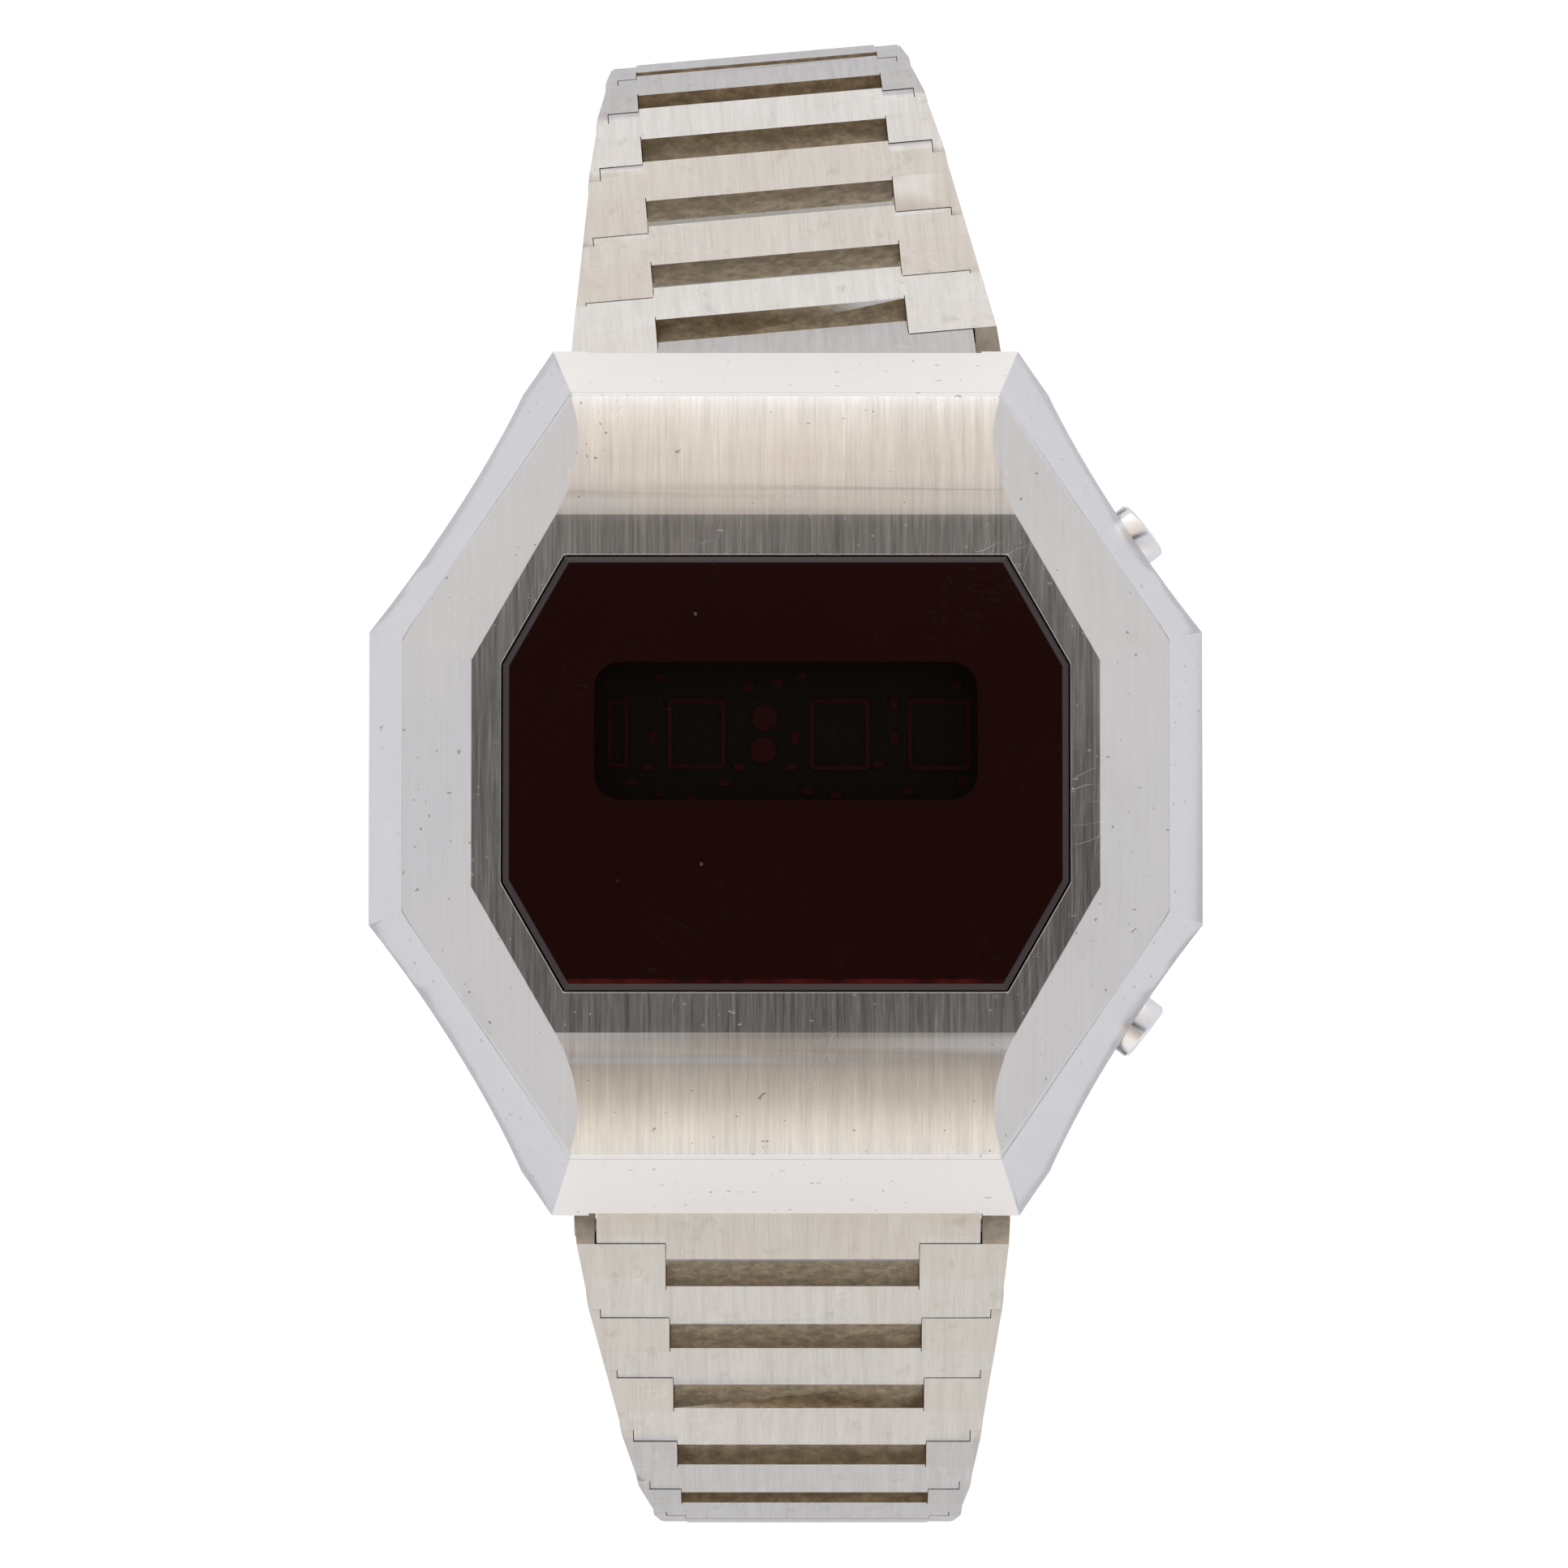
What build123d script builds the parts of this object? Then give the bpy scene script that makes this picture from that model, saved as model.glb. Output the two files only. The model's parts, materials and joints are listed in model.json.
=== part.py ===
from build123d import *
from math import atan2, cos, degrees, hypot, radians, sin, sqrt, tan
import os

os.makedirs("parts", exist_ok=True)

# Frame: millimetres, +Z up, the lens faces +Z, +Y is the twelve o'clock side, +X the button side.
# The head is drawn with the lens plane at zero and is lifted to head_height at the end.

# Case outline: half sizes at the ridge under the bevelled top and at the foot of the outer bevels
ridge_side_x = 18.1
ridge_corner_y = 6.5
ridge_end_x = 10.2
ridge_end_y = 18.15
ridge_drop = 1.6
skirt_side_x = 22.0
skirt_corner_y = 7.6
skirt_end_x = 11.4
skirt_end_y = 21.15
skirt_drop = 9.9
waist_hollow = 0.3
bevel_angle = 30.0
top_edge_x = 14.9
top_edge_y = 5.4
diagonal_angle = 30.0
top_flat_y = 12.3
top_curve_r = 13.0
top_curve_turn = 64.0
seam_drop = 2.0
side_edge_drop = 5.9
side_edge_half_y = 7.0
side_edge_r = 20.0

# Tub that holds the module: its walls stand round the bore
module_bore_r = 13.4
tub_side_wall = 2.2
tub_end_wall = 2.5
tub_side_flare = 1.4
tub_end_flare = 1.1
tub_corner_share = 0.37
tub_end_share = 0.585
tub_top_drop = 5.0
tub_bottom_drop = 10.4
tub_bottom_x = module_bore_r + tub_side_wall
tub_bottom_end_y = module_bore_r + tub_end_wall
tub_top_x = tub_bottom_x + tub_side_flare
tub_top_end_y = tub_bottom_end_y + tub_end_flare

# Ends that hold the spring bars
pivot_y = 19.0
pivot_drop = 11.0
end_piece_half_x = 9.4
end_piece_room = 0.2
notch_half_x = end_piece_half_x + end_piece_room
notch_reach = 2.3
notch_roof_drop = 9.6
lug_boss_r = 1.4
lug_boss_end_x = 10.9
lug_root_drop = 9.0
lug_root_back = 2.4
spring_bar_r = 0.75
spring_bar_pip_r = 0.45
spring_bar_pip_length = 0.9

# Lens, gasket and cover ledge
lens_side_x = 13.4
lens_corner_y = 5.15
lens_end_x = 10.46
lens_end_y = 10.27
lens_proud = 0.3
lens_bottom_drop = 1.25
lens_chamfer = 0.3
lens_gap = 0.08
gasket_thickness = 0.3
gasket_width = 0.9
ledge_width = 1.1

# Display
mask_width_share = 0.821
mask_height_share = 0.515
mask_half_x = module_bore_r * mask_width_share
mask_half_y = module_bore_r * mask_height_share
mask_thickness = 0.3
mask_drop = 2.05
window_side_bar = 1.9
window_end_bar = 3.55
window_half_x = mask_half_x - window_side_bar
window_half_y = mask_half_y - window_end_bar
window_corner_r = 0.5
display_lap_x = 0.7
display_lap_y = 1.05
display_half_x = window_half_x + display_lap_x
display_half_y = window_half_y + display_lap_y
display_thickness = 0.75
digit_chip_width = 2.3
digit_chip_height = 3.5
digit_stroke = 0.34
digit_rise = 0.14
digit_centres_share = (-0.818, -0.398, 0.296, 0.796)
colon_r = 0.28
colon_x = -0.95
colon_half_y = 0.8

# Module: the frame fills the bore, and the board and the cells sit within the frame
frame_gap = 0.2
frame_r = module_bore_r - frame_gap
frame_rim = 0.6
board_r = frame_r - frame_rim
board_thickness = 1.0
chip_half = 3.6
chip_thickness = 1.1
chip_place_share = 0.603
chip_y = board_r * chip_place_share
crystal_r = 0.95
crystal_length = 6.2
crystal_place_share = 0.65
crystal_x = -board_r * crystal_place_share
trimmer_r = 1.5
trimmer_thickness = 1.3
trimmer_place_share = 0.492
trimmer_x = board_r * trimmer_place_share
component_bay_depth = 2.1
module_gap = 0.1
cell_side_wall = 1.3
cell_split = 0.2
cell_r = (frame_r - cell_side_wall - module_gap - cell_split) / 2
cell_x = cell_r + cell_split
cell_thickness = 3.6
cell_rim_inset = 0.8
cell_cap_rise = 0.3
contact_thickness = 0.25
contact_lap = 2.0
contact_half_y = 1.6
switch_leaf_thickness = 0.15
switch_leaf_width = 1.8
switch_gap = 0.45
module_screw_r = 0.7
module_screw_head_r = 1.1
module_screw_length = 2.6
module_screw_head = 0.4
module_screw_edge = 1.6
module_screw_reach = board_r - module_screw_edge
module_screw_turns = (90.0, 250.0, 290.0)

# Case back
back_rim = 1.5
back_r = module_bore_r + back_rim
back_thickness = 1.4
back_spigot_gap = 0.15
back_spigot_rise = 0.35
back_notch_count = 6
back_notch_width = 2.2
back_notch_depth = 1.3
back_step_width = 2.3
back_step = 0.3
back_gasket_wall = 0.15
back_gasket_width = 0.8
back_gasket_inner_r = module_bore_r + back_gasket_wall
back_gasket_outer_r = back_gasket_inner_r + back_gasket_width
back_gasket_thickness = 0.5

# Push buttons
pusher_turn = 38.0
pusher_shift = -1.08
pusher_drop = 8.3
pusher_travel = 0.8
pusher_tube_r = 1.3
pusher_tube_root = 0.85
pusher_tube_length = 3.25
pusher_tube_inner = module_bore_r + pusher_tube_root
pusher_well_floor = pusher_tube_inner + pusher_tube_length
pusher_well_gap = 0.1
pusher_well_depth = 2.1
pusher_spring_room = 1.8
pusher_boss_wall = 0.45
pusher_boss_root = 2.0
pusher_cap_r = 1.5
pusher_cap_length = 2.05
pusher_cap_inner = pusher_well_floor + pusher_spring_room
pusher_cap_outer = pusher_cap_inner + pusher_cap_length
pusher_cap_chamfer = 0.15
pusher_stem_r = 0.7
pusher_stem_reach = 0.65
pusher_stem_tip = module_bore_r - pusher_stem_reach
pusher_bore_gap = 0.06
pusher_seal_r = 1.0
pusher_seal_place = 1.15
pusher_seal_start = pusher_tube_inner + pusher_seal_place
pusher_seal_length = 0.5
switch_leaf_reach = pusher_stem_tip - pusher_travel - switch_gap
clip_r = 1.2
clip_thickness = 0.2
clip_gap = 0.05
clip_bay_gap = 0.2
spring_wire = 0.3
spring_gap = 0.05

# Bracelet
link_pitch = 3.7
link_count = 11
link_thickness = 2.2
slot_half_x = 6.2
bar_near = 1.62
bar_far = 0.63
bar_end_near = 1.42
hinge_gap = 0.03
ear_width = 0.5
hinge_pin_r = 0.42
hinge_pin_gap = 0.05
half_width_start = 10.75
half_width_end = 7.4
taper_link_count = 5.5
side_gap = 0.04
knuckle_r = 1.2
knuckle_gap = 0.04

# End piece, and the longer first link that is hinged on it with some side play
end_piece_length = 3.0
tongue_far = 1.23
first_link_length = 4.36
first_side_play = 0.1
first_ear_reach = 0.62
first_ear_drop = 0.9
first_ear_foot = 0.6

# Rest shape of the bracelet: each hinge's turn towards the wrist, in degrees
first_fall_angle_upper = 50.0
first_fall_angle_lower = 22.0
turn_angles_upper = (-12.0, -16.0, -1.0, 17.0, 17.0, 16.0, 16.0, 16.0, 16.0, 16.0, 16.0, 22.0)
turn_angles_lower = (10.0, 2.0, -1.0, 15.0, 17.0, 16.0, 14.0, 14.0, 14.0, 14.0, 15.0, 28.0)
# The worn bracelet hangs to one side: the upper half leans, and the lower half drifts, link by link
lean_angle_upper = 5.0
lean_angle_lower = 0.0
end_piece_shift = 0.14
first_link_shift = 0.2
link_drift = 0.155
drift_link_count = 5
# Centres the standing watch's footprint on the origin
stance_shift = -0.951

# Clasp
clasp_length = 24.0
clasp_half_x = 8.0
clasp_skin = 0.6
clasp_face = 1.9
clasp_wall_reach = 1.1
clasp_hinge_block = 1.6
clasp_corner_r = 1.5
lever_length = 17.5
lever_half_x = 5.6
lever_thickness = 0.9
lever_level = 0.2
lever_window_half_x = 3.4
lever_window_start = 4.0
lever_window_end = 13.0
lever_knuckle_r = 0.8
lever_pin_r = 0.4
lever_pin_inset = 1.4
hook_half_x = 2.4
hook_rise = 1.5
hook_reach = 1.3
hook_thickness = 0.7
catch_length = 9.5
catch_half_x = 5.4
catch_corner_r = 1.8
catch_thickness = 1.0
catch_slot_half_x = 2.9
catch_slot_length = 1.1
catch_slot_pitch = 2.1
catch_slot_count = 3
catch_slot_start = 2.9

overrun = 5.0
FROM_BASE = (Align.CENTER, Align.CENTER, Align.MIN)


def block(x, y, z):
    """A box between pairs of x, y and z."""
    size = Box(x[1] - x[0], y[1] - y[0], z[1] - z[0], align=(Align.MIN, Align.MIN, Align.MIN))
    return Pos(x[0], y[0], z[0]) * size


def disc(radius, low, high, x=0, y=0):
    return Pos(x, y, low) * Cylinder(radius, high - low, align=FROM_BASE)


def rod(radius, start, end, y=0, z=0):
    """A cylinder along X."""
    return Pos(start, y, z) * Rot(0, 90, 0) * Cylinder(radius, end - start, align=FROM_BASE)


def side_prism(points, start, end):
    """A (y, z) outline drawn out along X."""
    return extrude(Plane.YZ.offset(start) * Polygon(*points, align=None), end - start)


def plan_prism(points, low, high):
    """An (x, y) outline drawn up along Z."""
    return extrude(Plane.XY.offset(low) * Polygon(*points, align=None), high - low)


def eight_corners(side_x, corner_y, end_x, end_y):
    """A plan outline with straight sides, ends and diagonals."""
    quarter = [(side_x, corner_y), (end_x, end_y)]
    right = [(x, -y) for x, y in reversed(quarter)] + quarter
    left = [(-x, -y) for x, y in right]
    return right + left


def both_sides(shape):
    return [shape, mirror(shape, Plane.YZ)]


def blend(start, end, share):
    return start + (end - start) * share


# Case blanks


def case_section(drop):
    """The case's outline at one depth: straight sides and ends, with hollow diagonals."""
    share = (drop - ridge_drop) / (skirt_drop - ridge_drop)
    side_x = blend(ridge_side_x, skirt_side_x, share)
    corner_y = blend(ridge_corner_y, skirt_corner_y, share)
    end_x = blend(ridge_end_x, skirt_end_x, share)
    end_y = blend(ridge_end_y, skirt_end_y, share)
    run = hypot(side_x - end_x, end_y - corner_y)
    inward = waist_hollow * share
    middle_x = (side_x + end_x) / 2 - inward * (end_y - corner_y) / run
    middle_y = (corner_y + end_y) / 2 - inward * (side_x - end_x) / run
    edges = []
    for sx, sy in ((1, 1), (-1, 1), (-1, -1), (1, -1)):
        corner = (sx * side_x, sy * corner_y)
        end = (sx * end_x, sy * end_y)
        if inward > 0:
            edges.append(ThreePointArc(corner, (sx * middle_x, sy * middle_y), end))
        else:
            edges.append(Line(corner, end))
    edges.append(Line((side_x, -corner_y), (side_x, corner_y)))
    edges.append(Line((-side_x, -corner_y), (-side_x, corner_y)))
    edges.append(Line((-end_x, end_y), (end_x, end_y)))
    edges.append(Line((-end_x, -end_y), (end_x, -end_y)))
    return Pos(0, 0, -drop) * make_face(Curve() + edges)


def bevel_section(drop, reach_y):
    """The outline of the bevelled top at one depth, run past the case's ends."""
    spread = drop / tan(radians(bevel_angle))
    across = cos(radians(diagonal_angle))
    along = sin(radians(diagonal_angle))
    side_x = top_edge_x + spread
    offset = top_edge_x * across + top_edge_y * along + spread
    corner_y = (offset - side_x * across) / along
    end_x = (offset - reach_y * along) / across
    return Pos(0, 0, -drop) * Polygon(*eight_corners(side_x, corner_y, end_x, reach_y), align=None)


def case_blank():
    bottom = skirt_drop + overrun
    body = loft([case_section(ridge_drop), case_section(bottom)], ruled=True)
    rise = block((-skirt_side_x, skirt_side_x), (-skirt_end_y, skirt_end_y), (-ridge_drop, lens_proud))
    upper = loft([case_section(-lens_proud), case_section(ridge_drop)], ruled=True)
    body = body + (upper & rise)
    reach_y = skirt_end_y + lens_proud
    bevels = loft([bevel_section(0, reach_y), bevel_section(overrun, reach_y)], ruled=True)
    bevels += plan_prism(eight_corners(skirt_side_x + overrun, skirt_corner_y, skirt_side_x, reach_y),
                         -bottom, -overrun)
    turn = radians(top_curve_turn)
    arc_end = (top_flat_y + top_curve_r * sin(turn), top_curve_r * cos(turn) - top_curve_r)
    half = turn / 2
    arc_middle = (top_flat_y + top_curve_r * sin(half), top_curve_r * cos(half) - top_curve_r)
    outline = Curve() + [
        Line((-top_flat_y, 0), (top_flat_y, 0)),
        ThreePointArc((top_flat_y, 0), arc_middle, arc_end),
        Line(arc_end, (arc_end[0], -bottom)),
        Line((arc_end[0], -bottom), (-arc_end[0], -bottom)),
        Line((-arc_end[0], -bottom), (-arc_end[0], arc_end[1])),
        ThreePointArc((-arc_end[0], arc_end[1]), (-arc_middle[0], arc_middle[1]), (-top_flat_y, 0)),
    ]
    width = skirt_side_x + overrun
    crown = extrude(Plane.YZ.offset(-width) * make_face(outline), 2 * width)
    return body & bevels & crown


# Head: cover, lens and middle case


def lens_outline(grow):
    """The lens outline, grown evenly by a distance."""
    run = hypot(lens_side_x - lens_end_x, lens_end_y - lens_corner_y)
    across = (lens_end_y - lens_corner_y) / run
    along = (lens_side_x - lens_end_x) / run
    offset = lens_side_x * across + lens_corner_y * along + grow
    side_x = lens_side_x + grow
    end_y = lens_end_y + grow
    corner_y = (offset - side_x * across) / along
    end_x = (offset - end_y * along) / across
    return eight_corners(side_x, corner_y, end_x, end_y)


def top_cover(blank):
    width = skirt_side_x + overrun
    cover = blank & block((-width, width), (-width, width), (-seam_drop, overrun))
    seat = lens_bottom_drop + gasket_thickness
    cover -= plan_prism(lens_outline(lens_gap), -seat, overrun)
    cover -= plan_prism(lens_outline(-ledge_width), -seam_drop - overrun, overrun)
    return cover


def lens():
    plate = plan_prism(lens_outline(0), -lens_bottom_drop, lens_proud)
    rim = plate.faces().sort_by(Axis.Z)[-1].edges()
    return chamfer(rim, lens_chamfer)


def lens_gasket():
    seat = lens_bottom_drop + gasket_thickness
    ring = plan_prism(lens_outline(0), -seat, -lens_bottom_drop)
    return ring - plan_prism(lens_outline(-gasket_width), -seat - overrun, overrun)


def pusher_place(side):
    """Where a button's own frame sits: its X runs out along the button, side is 1 above and -1 below."""
    return Rot(0, 0, side * pusher_turn) * Pos(0, side * pusher_shift, -pusher_drop)


def mid_case(blank):
    width = skirt_side_x + overrun
    body = blank & block((-width, width), (-width, width), (-skirt_drop, -seam_drop))
    # The lower edge runs level along the sides and curves down to the ends
    end_turn = degrees(atan2(sqrt(side_edge_r**2 - (side_edge_r - skirt_drop + side_edge_drop)**2),
                             side_edge_r - skirt_drop + side_edge_drop))
    half = radians(end_turn / 2)
    curve_end = (side_edge_half_y + side_edge_r * sin(radians(end_turn)), -skirt_drop)
    curve_middle = (side_edge_half_y + side_edge_r * sin(half),
                    -side_edge_drop - side_edge_r * (1 - cos(half)))
    foot = -skirt_drop - overrun
    under = Curve() + [
        Line((-side_edge_half_y, -side_edge_drop), (side_edge_half_y, -side_edge_drop)),
        ThreePointArc((side_edge_half_y, -side_edge_drop), curve_middle, curve_end),
        Line(curve_end, (curve_end[0], foot)),
        Line((curve_end[0], foot), (-curve_end[0], foot)),
        Line((-curve_end[0], foot), (-curve_end[0], -skirt_drop)),
        ThreePointArc((-curve_end[0], -skirt_drop), (-curve_middle[0], curve_middle[1]),
                      (-side_edge_half_y, -side_edge_drop)),
    ]
    body -= extrude(Plane.YZ.offset(-width) * make_face(under), 2 * width)
    tub_top = eight_corners(tub_top_x, tub_top_x * tub_corner_share,
                            tub_top_x * tub_end_share, tub_top_end_y)
    tub_bottom = eight_corners(tub_bottom_x, tub_bottom_x * tub_corner_share,
                               tub_bottom_x * tub_end_share, tub_bottom_end_y)
    body += loft([Pos(0, 0, -tub_top_drop) * Polygon(*tub_top, align=None),
                  Pos(0, 0, -tub_bottom_drop) * Polygon(*tub_bottom, align=None)], ruled=True)
    # Bosses under both ends hold the spring bars
    boss = disc(lug_boss_r, notch_half_x, lug_boss_end_x)
    boss = Pos(0, pivot_y, -pivot_drop) * Rot(0, 90, 0) * boss
    boss += side_prism([(pivot_y - lug_boss_r, -pivot_drop), (pivot_y + lug_boss_r, -pivot_drop),
                        (pivot_y + lug_boss_r, -lug_root_drop),
                        (pivot_y - lug_root_back, -lug_root_drop)], notch_half_x, lug_boss_end_x)
    for piece in both_sides(boss):
        body += piece
        body += mirror(piece, Plane.XZ)
    # Bosses under the skirt guide the buttons
    boss_r = pusher_cap_r + pusher_well_gap + pusher_boss_wall
    reach = (pusher_well_floor - pusher_boss_root, pusher_well_floor + pusher_well_depth)
    boss = rod(boss_r, *reach)
    boss += block(reach, (-boss_r, boss_r), (0, pusher_drop - side_edge_drop))
    for side in (1, -1):
        body += pusher_place(side) * boss
    notch = block((-notch_half_x, notch_half_x), (pivot_y - notch_reach, skirt_end_y + overrun),
                  (-pivot_drop - overrun, -notch_roof_drop))
    pip_reach = notch_half_x + spring_bar_pip_length
    for sign in (1, -1):
        body -= notch if sign == 1 else mirror(notch, Plane.XZ)
        body -= rod(spring_bar_pip_r, -pip_reach, pip_reach, sign * pivot_y, -pivot_drop)
    body -= disc(module_bore_r, -tub_bottom_drop - overrun, overrun)
    gasket_floor = -tub_bottom_drop + back_gasket_thickness
    body -= (disc(back_gasket_outer_r, -tub_bottom_drop - overrun, gasket_floor)
             - disc(back_gasket_inner_r, -tub_bottom_drop - overrun, gasket_floor))
    for side in (1, -1):
        well = rod(pusher_cap_r + pusher_well_gap, pusher_well_floor, pusher_cap_outer + overrun)
        well += rod(pusher_tube_r, pusher_tube_inner, pusher_well_floor + overrun)
        well += rod(clip_r + clip_bay_gap, module_bore_r - overrun, pusher_tube_inner)
        body -= pusher_place(side) * well
    return body


# Buttons


def pusher():
    cap = rod(pusher_cap_r, pusher_cap_inner, pusher_cap_outer)
    cap = chamfer(cap.edges().filter_by(GeomType.CIRCLE).sort_by(Axis.X)[-1], pusher_cap_chamfer)
    return cap + rod(pusher_stem_r, pusher_stem_tip, pusher_cap_inner)


def pusher_tube():
    tube = rod(pusher_tube_r, pusher_tube_inner, pusher_well_floor)
    tube -= rod(pusher_stem_r + pusher_bore_gap, pusher_tube_inner - overrun, pusher_well_floor + overrun)
    return tube - rod(pusher_seal_r, pusher_seal_start, pusher_seal_start + pusher_seal_length)


def pusher_seal():
    ring = rod(pusher_seal_r, pusher_seal_start, pusher_seal_start + pusher_seal_length)
    return ring - rod(pusher_stem_r + pusher_bore_gap / 2, pusher_seal_start - overrun, pusher_cap_inner)


def pusher_clip():
    end = pusher_tube_inner - clip_gap
    clip = rod(clip_r, end - clip_thickness, end)
    return clip - rod(pusher_stem_r, pusher_stem_tip - overrun, pusher_cap_inner)


def pusher_spring():
    start = pusher_well_floor + spring_gap
    end = pusher_cap_inner - spring_gap
    outer = pusher_cap_r - pusher_well_gap
    return rod(outer, start, end) - rod(outer - spring_wire, start - overrun, end + overrun)


# Display and module


def window_cut(low, high):
    shape = RectangleRounded(2 * window_half_x, 2 * window_half_y, window_corner_r)
    return extrude(Plane.XY.offset(low) * shape, high - low)


mask_bottom = -mask_drop - mask_thickness
board_top = mask_bottom - display_thickness
board_bottom = board_top - board_thickness
bay_floor = board_bottom - component_bay_depth
frame_bottom = -tub_bottom_drop + back_spigot_rise + contact_thickness
cell_top = frame_bottom + cell_thickness + cell_cap_rise


def display_mask():
    plate = block((-mask_half_x, mask_half_x), (-mask_half_y, mask_half_y), (mask_bottom, -mask_drop))
    return plate - window_cut(mask_bottom - overrun, overrun)


def display_board():
    x = (-display_half_x, display_half_x)
    return block(x, (-display_half_y, display_half_y), (board_top, mask_bottom))


def led_digits():
    """Four seven-segment digits: the first shows one, the others eight."""
    half_w = digit_chip_width / 2
    half_h = digit_chip_height / 2
    z = (mask_bottom, mask_bottom + digit_rise)
    bars = []
    for place, share in enumerate(digit_centres_share):
        centre = share * window_half_x
        low = digit_stroke / 2
        if place > 0:
            for y in (-half_h, 0, half_h):
                bars.append(block((centre - half_w + digit_stroke, centre + half_w - digit_stroke),
                                  (y - low, y + low), z))
        for x in ((centre - half_w, centre + half_w) if place > 0 else (centre,)):
            for y in (-half_h / 2, half_h / 2):
                reach = half_h / 2 - digit_stroke
                bars.append(block((x - low, x + low), (y - reach, y + reach), z))
    return bars


def colon_leds():
    top = mask_bottom + digit_rise
    return [disc(colon_r, mask_bottom, top, colon_x, y) for y in (-colon_half_y, colon_half_y)]


def circuit_board():
    board = disc(board_r, board_bottom, board_top)
    for turn in module_screw_turns:
        place = Rot(0, 0, turn) * Pos(module_screw_reach, 0, 0)
        board -= place * disc(module_screw_r + module_gap, board_bottom - overrun, overrun)
    return board


def logic_chip():
    y = (chip_y - chip_half / 2, chip_y + chip_half / 2)
    return block((-chip_half, chip_half), y, (board_bottom - chip_thickness, board_bottom))


def quartz_crystal():
    middle = board_bottom - crystal_r
    return rod(crystal_r, crystal_x, crystal_x + crystal_length, -chip_y, middle)


def trimmer():
    return disc(trimmer_r, board_bottom - trimmer_thickness, board_bottom, trimmer_x, -chip_y)


def switch_contacts():
    """Springy leaves that hang from the board in front of the button stems."""
    leaves = []
    for side in (1, -1):
        leaf = block((switch_leaf_reach, switch_leaf_reach + switch_leaf_thickness),
                     (-switch_leaf_width / 2, switch_leaf_width / 2),
                     (-pusher_stem_r, board_bottom + pusher_drop))
        leaves.append(pusher_place(side) * leaf)
    return leaves


def module_frame():
    frame = disc(frame_r, frame_bottom, board_bottom)
    # A bay above for the parts on the board, and two wells below for the cells
    bay = block((-frame_r, frame_r), (chip_y - chip_half, frame_r), (bay_floor, overrun))
    bay += block((-frame_r, frame_r), (-frame_r, -chip_y + chip_half), (bay_floor, overrun))
    frame -= bay & disc(board_r - frame_rim, bay_floor, overrun)
    for x in (-cell_x, cell_x):
        frame -= disc(cell_r + module_gap, frame_bottom - overrun, cell_top + module_gap, x)
    for side in (1, -1):
        slot = block((switch_leaf_reach - frame_rim, frame_r + overrun),
                     (-clip_r - clip_bay_gap, clip_r + clip_bay_gap),
                     (-overrun, overrun + pusher_drop))
        frame -= pusher_place(side) * slot
    for turn in module_screw_turns:
        place = Rot(0, 0, turn) * Pos(module_screw_reach, 0, 0)
        frame += place * disc(module_screw_head_r + module_gap, bay_floor, board_bottom)
        hole_floor = board_top - module_screw_length
        frame -= place * disc(module_screw_r, hole_floor, board_bottom + overrun)
    return frame


def module_screws():
    screws = []
    for turn in module_screw_turns:
        head = disc(module_screw_head_r, board_top, board_top + module_screw_head)
        shank = disc(module_screw_r, board_top - module_screw_length, board_top)
        screws.append(Rot(0, 0, turn) * Pos(module_screw_reach, 0, 0) * (head + shank))
    return screws


def button_cell(x):
    cell = disc(cell_r, frame_bottom, frame_bottom + cell_thickness, x)
    return cell + disc(cell_r - cell_rim_inset, frame_bottom + cell_thickness, cell_top, x)


def cell_contact():
    top = frame_bottom
    x = (-cell_x - contact_lap, cell_x + contact_lap)
    return block(x, (-contact_half_y, contact_half_y), (top - contact_thickness, top))


# Case back


def case_back():
    top = -tub_bottom_drop
    plate = disc(back_r, top - back_thickness + back_step, top)
    plate += disc(back_r - back_step_width, top - back_thickness, top)
    plate += disc(module_bore_r - back_spigot_gap, top, top + back_spigot_rise)
    for index in range(back_notch_count):
        turn = index * 360 / back_notch_count
        cut = block((back_r - back_notch_depth, back_r + overrun),
                    (-back_notch_width / 2, back_notch_width / 2),
                    (top - back_thickness - overrun, top - back_step))
        plate -= Rot(0, 0, turn) * cut
    return plate


def back_gasket():
    top = -tub_bottom_drop
    ring = disc(back_gasket_outer_r, top, top + back_gasket_thickness)
    return ring - disc(back_gasket_inner_r, top - overrun, overrun)


def spring_bar(sign):
    y = sign * pivot_y
    bar_end = notch_half_x - knuckle_gap
    reach = notch_half_x + spring_bar_pip_length
    return (rod(spring_bar_r, -bar_end, bar_end, y, -pivot_drop)
            + rod(spring_bar_pip_r, -reach, reach, y, -pivot_drop))


# Bracelet: each piece is drawn with its own hinge at the origin, +Y away from the head, +Z outwards

half_thickness = link_thickness / 2
cup_r = half_thickness + hinge_gap


def half_width(place):
    """The bracelet's half width at a place counted in links from the end piece."""
    share = min(max(place, 0.0) / taper_link_count, 1.0)
    return blend(half_width_start, half_width_end, share)


def link_length(index):
    return first_link_length if index == 0 else link_pitch


def drift_after(index, half):
    """How far a link's bar stands to one side of its own hinge. The end piece has the index -1."""
    if half == "upper":
        return 0
    if index < 0:
        return -first_link_shift
    return -link_drift if index < drift_link_count else 0


def taper_prism(index, length, drift):
    """The tapering outline of one link, whose middle moves over by the drift."""
    corners = []
    for y in (-half_thickness, length + half_thickness):
        half = half_width(index + y / length)
        middle = drift * y / length
        corners.append([(middle - half, y), (middle + half, y)])
    near, far = corners
    return plan_prism(near + far[::-1], -link_thickness, link_thickness)


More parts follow.
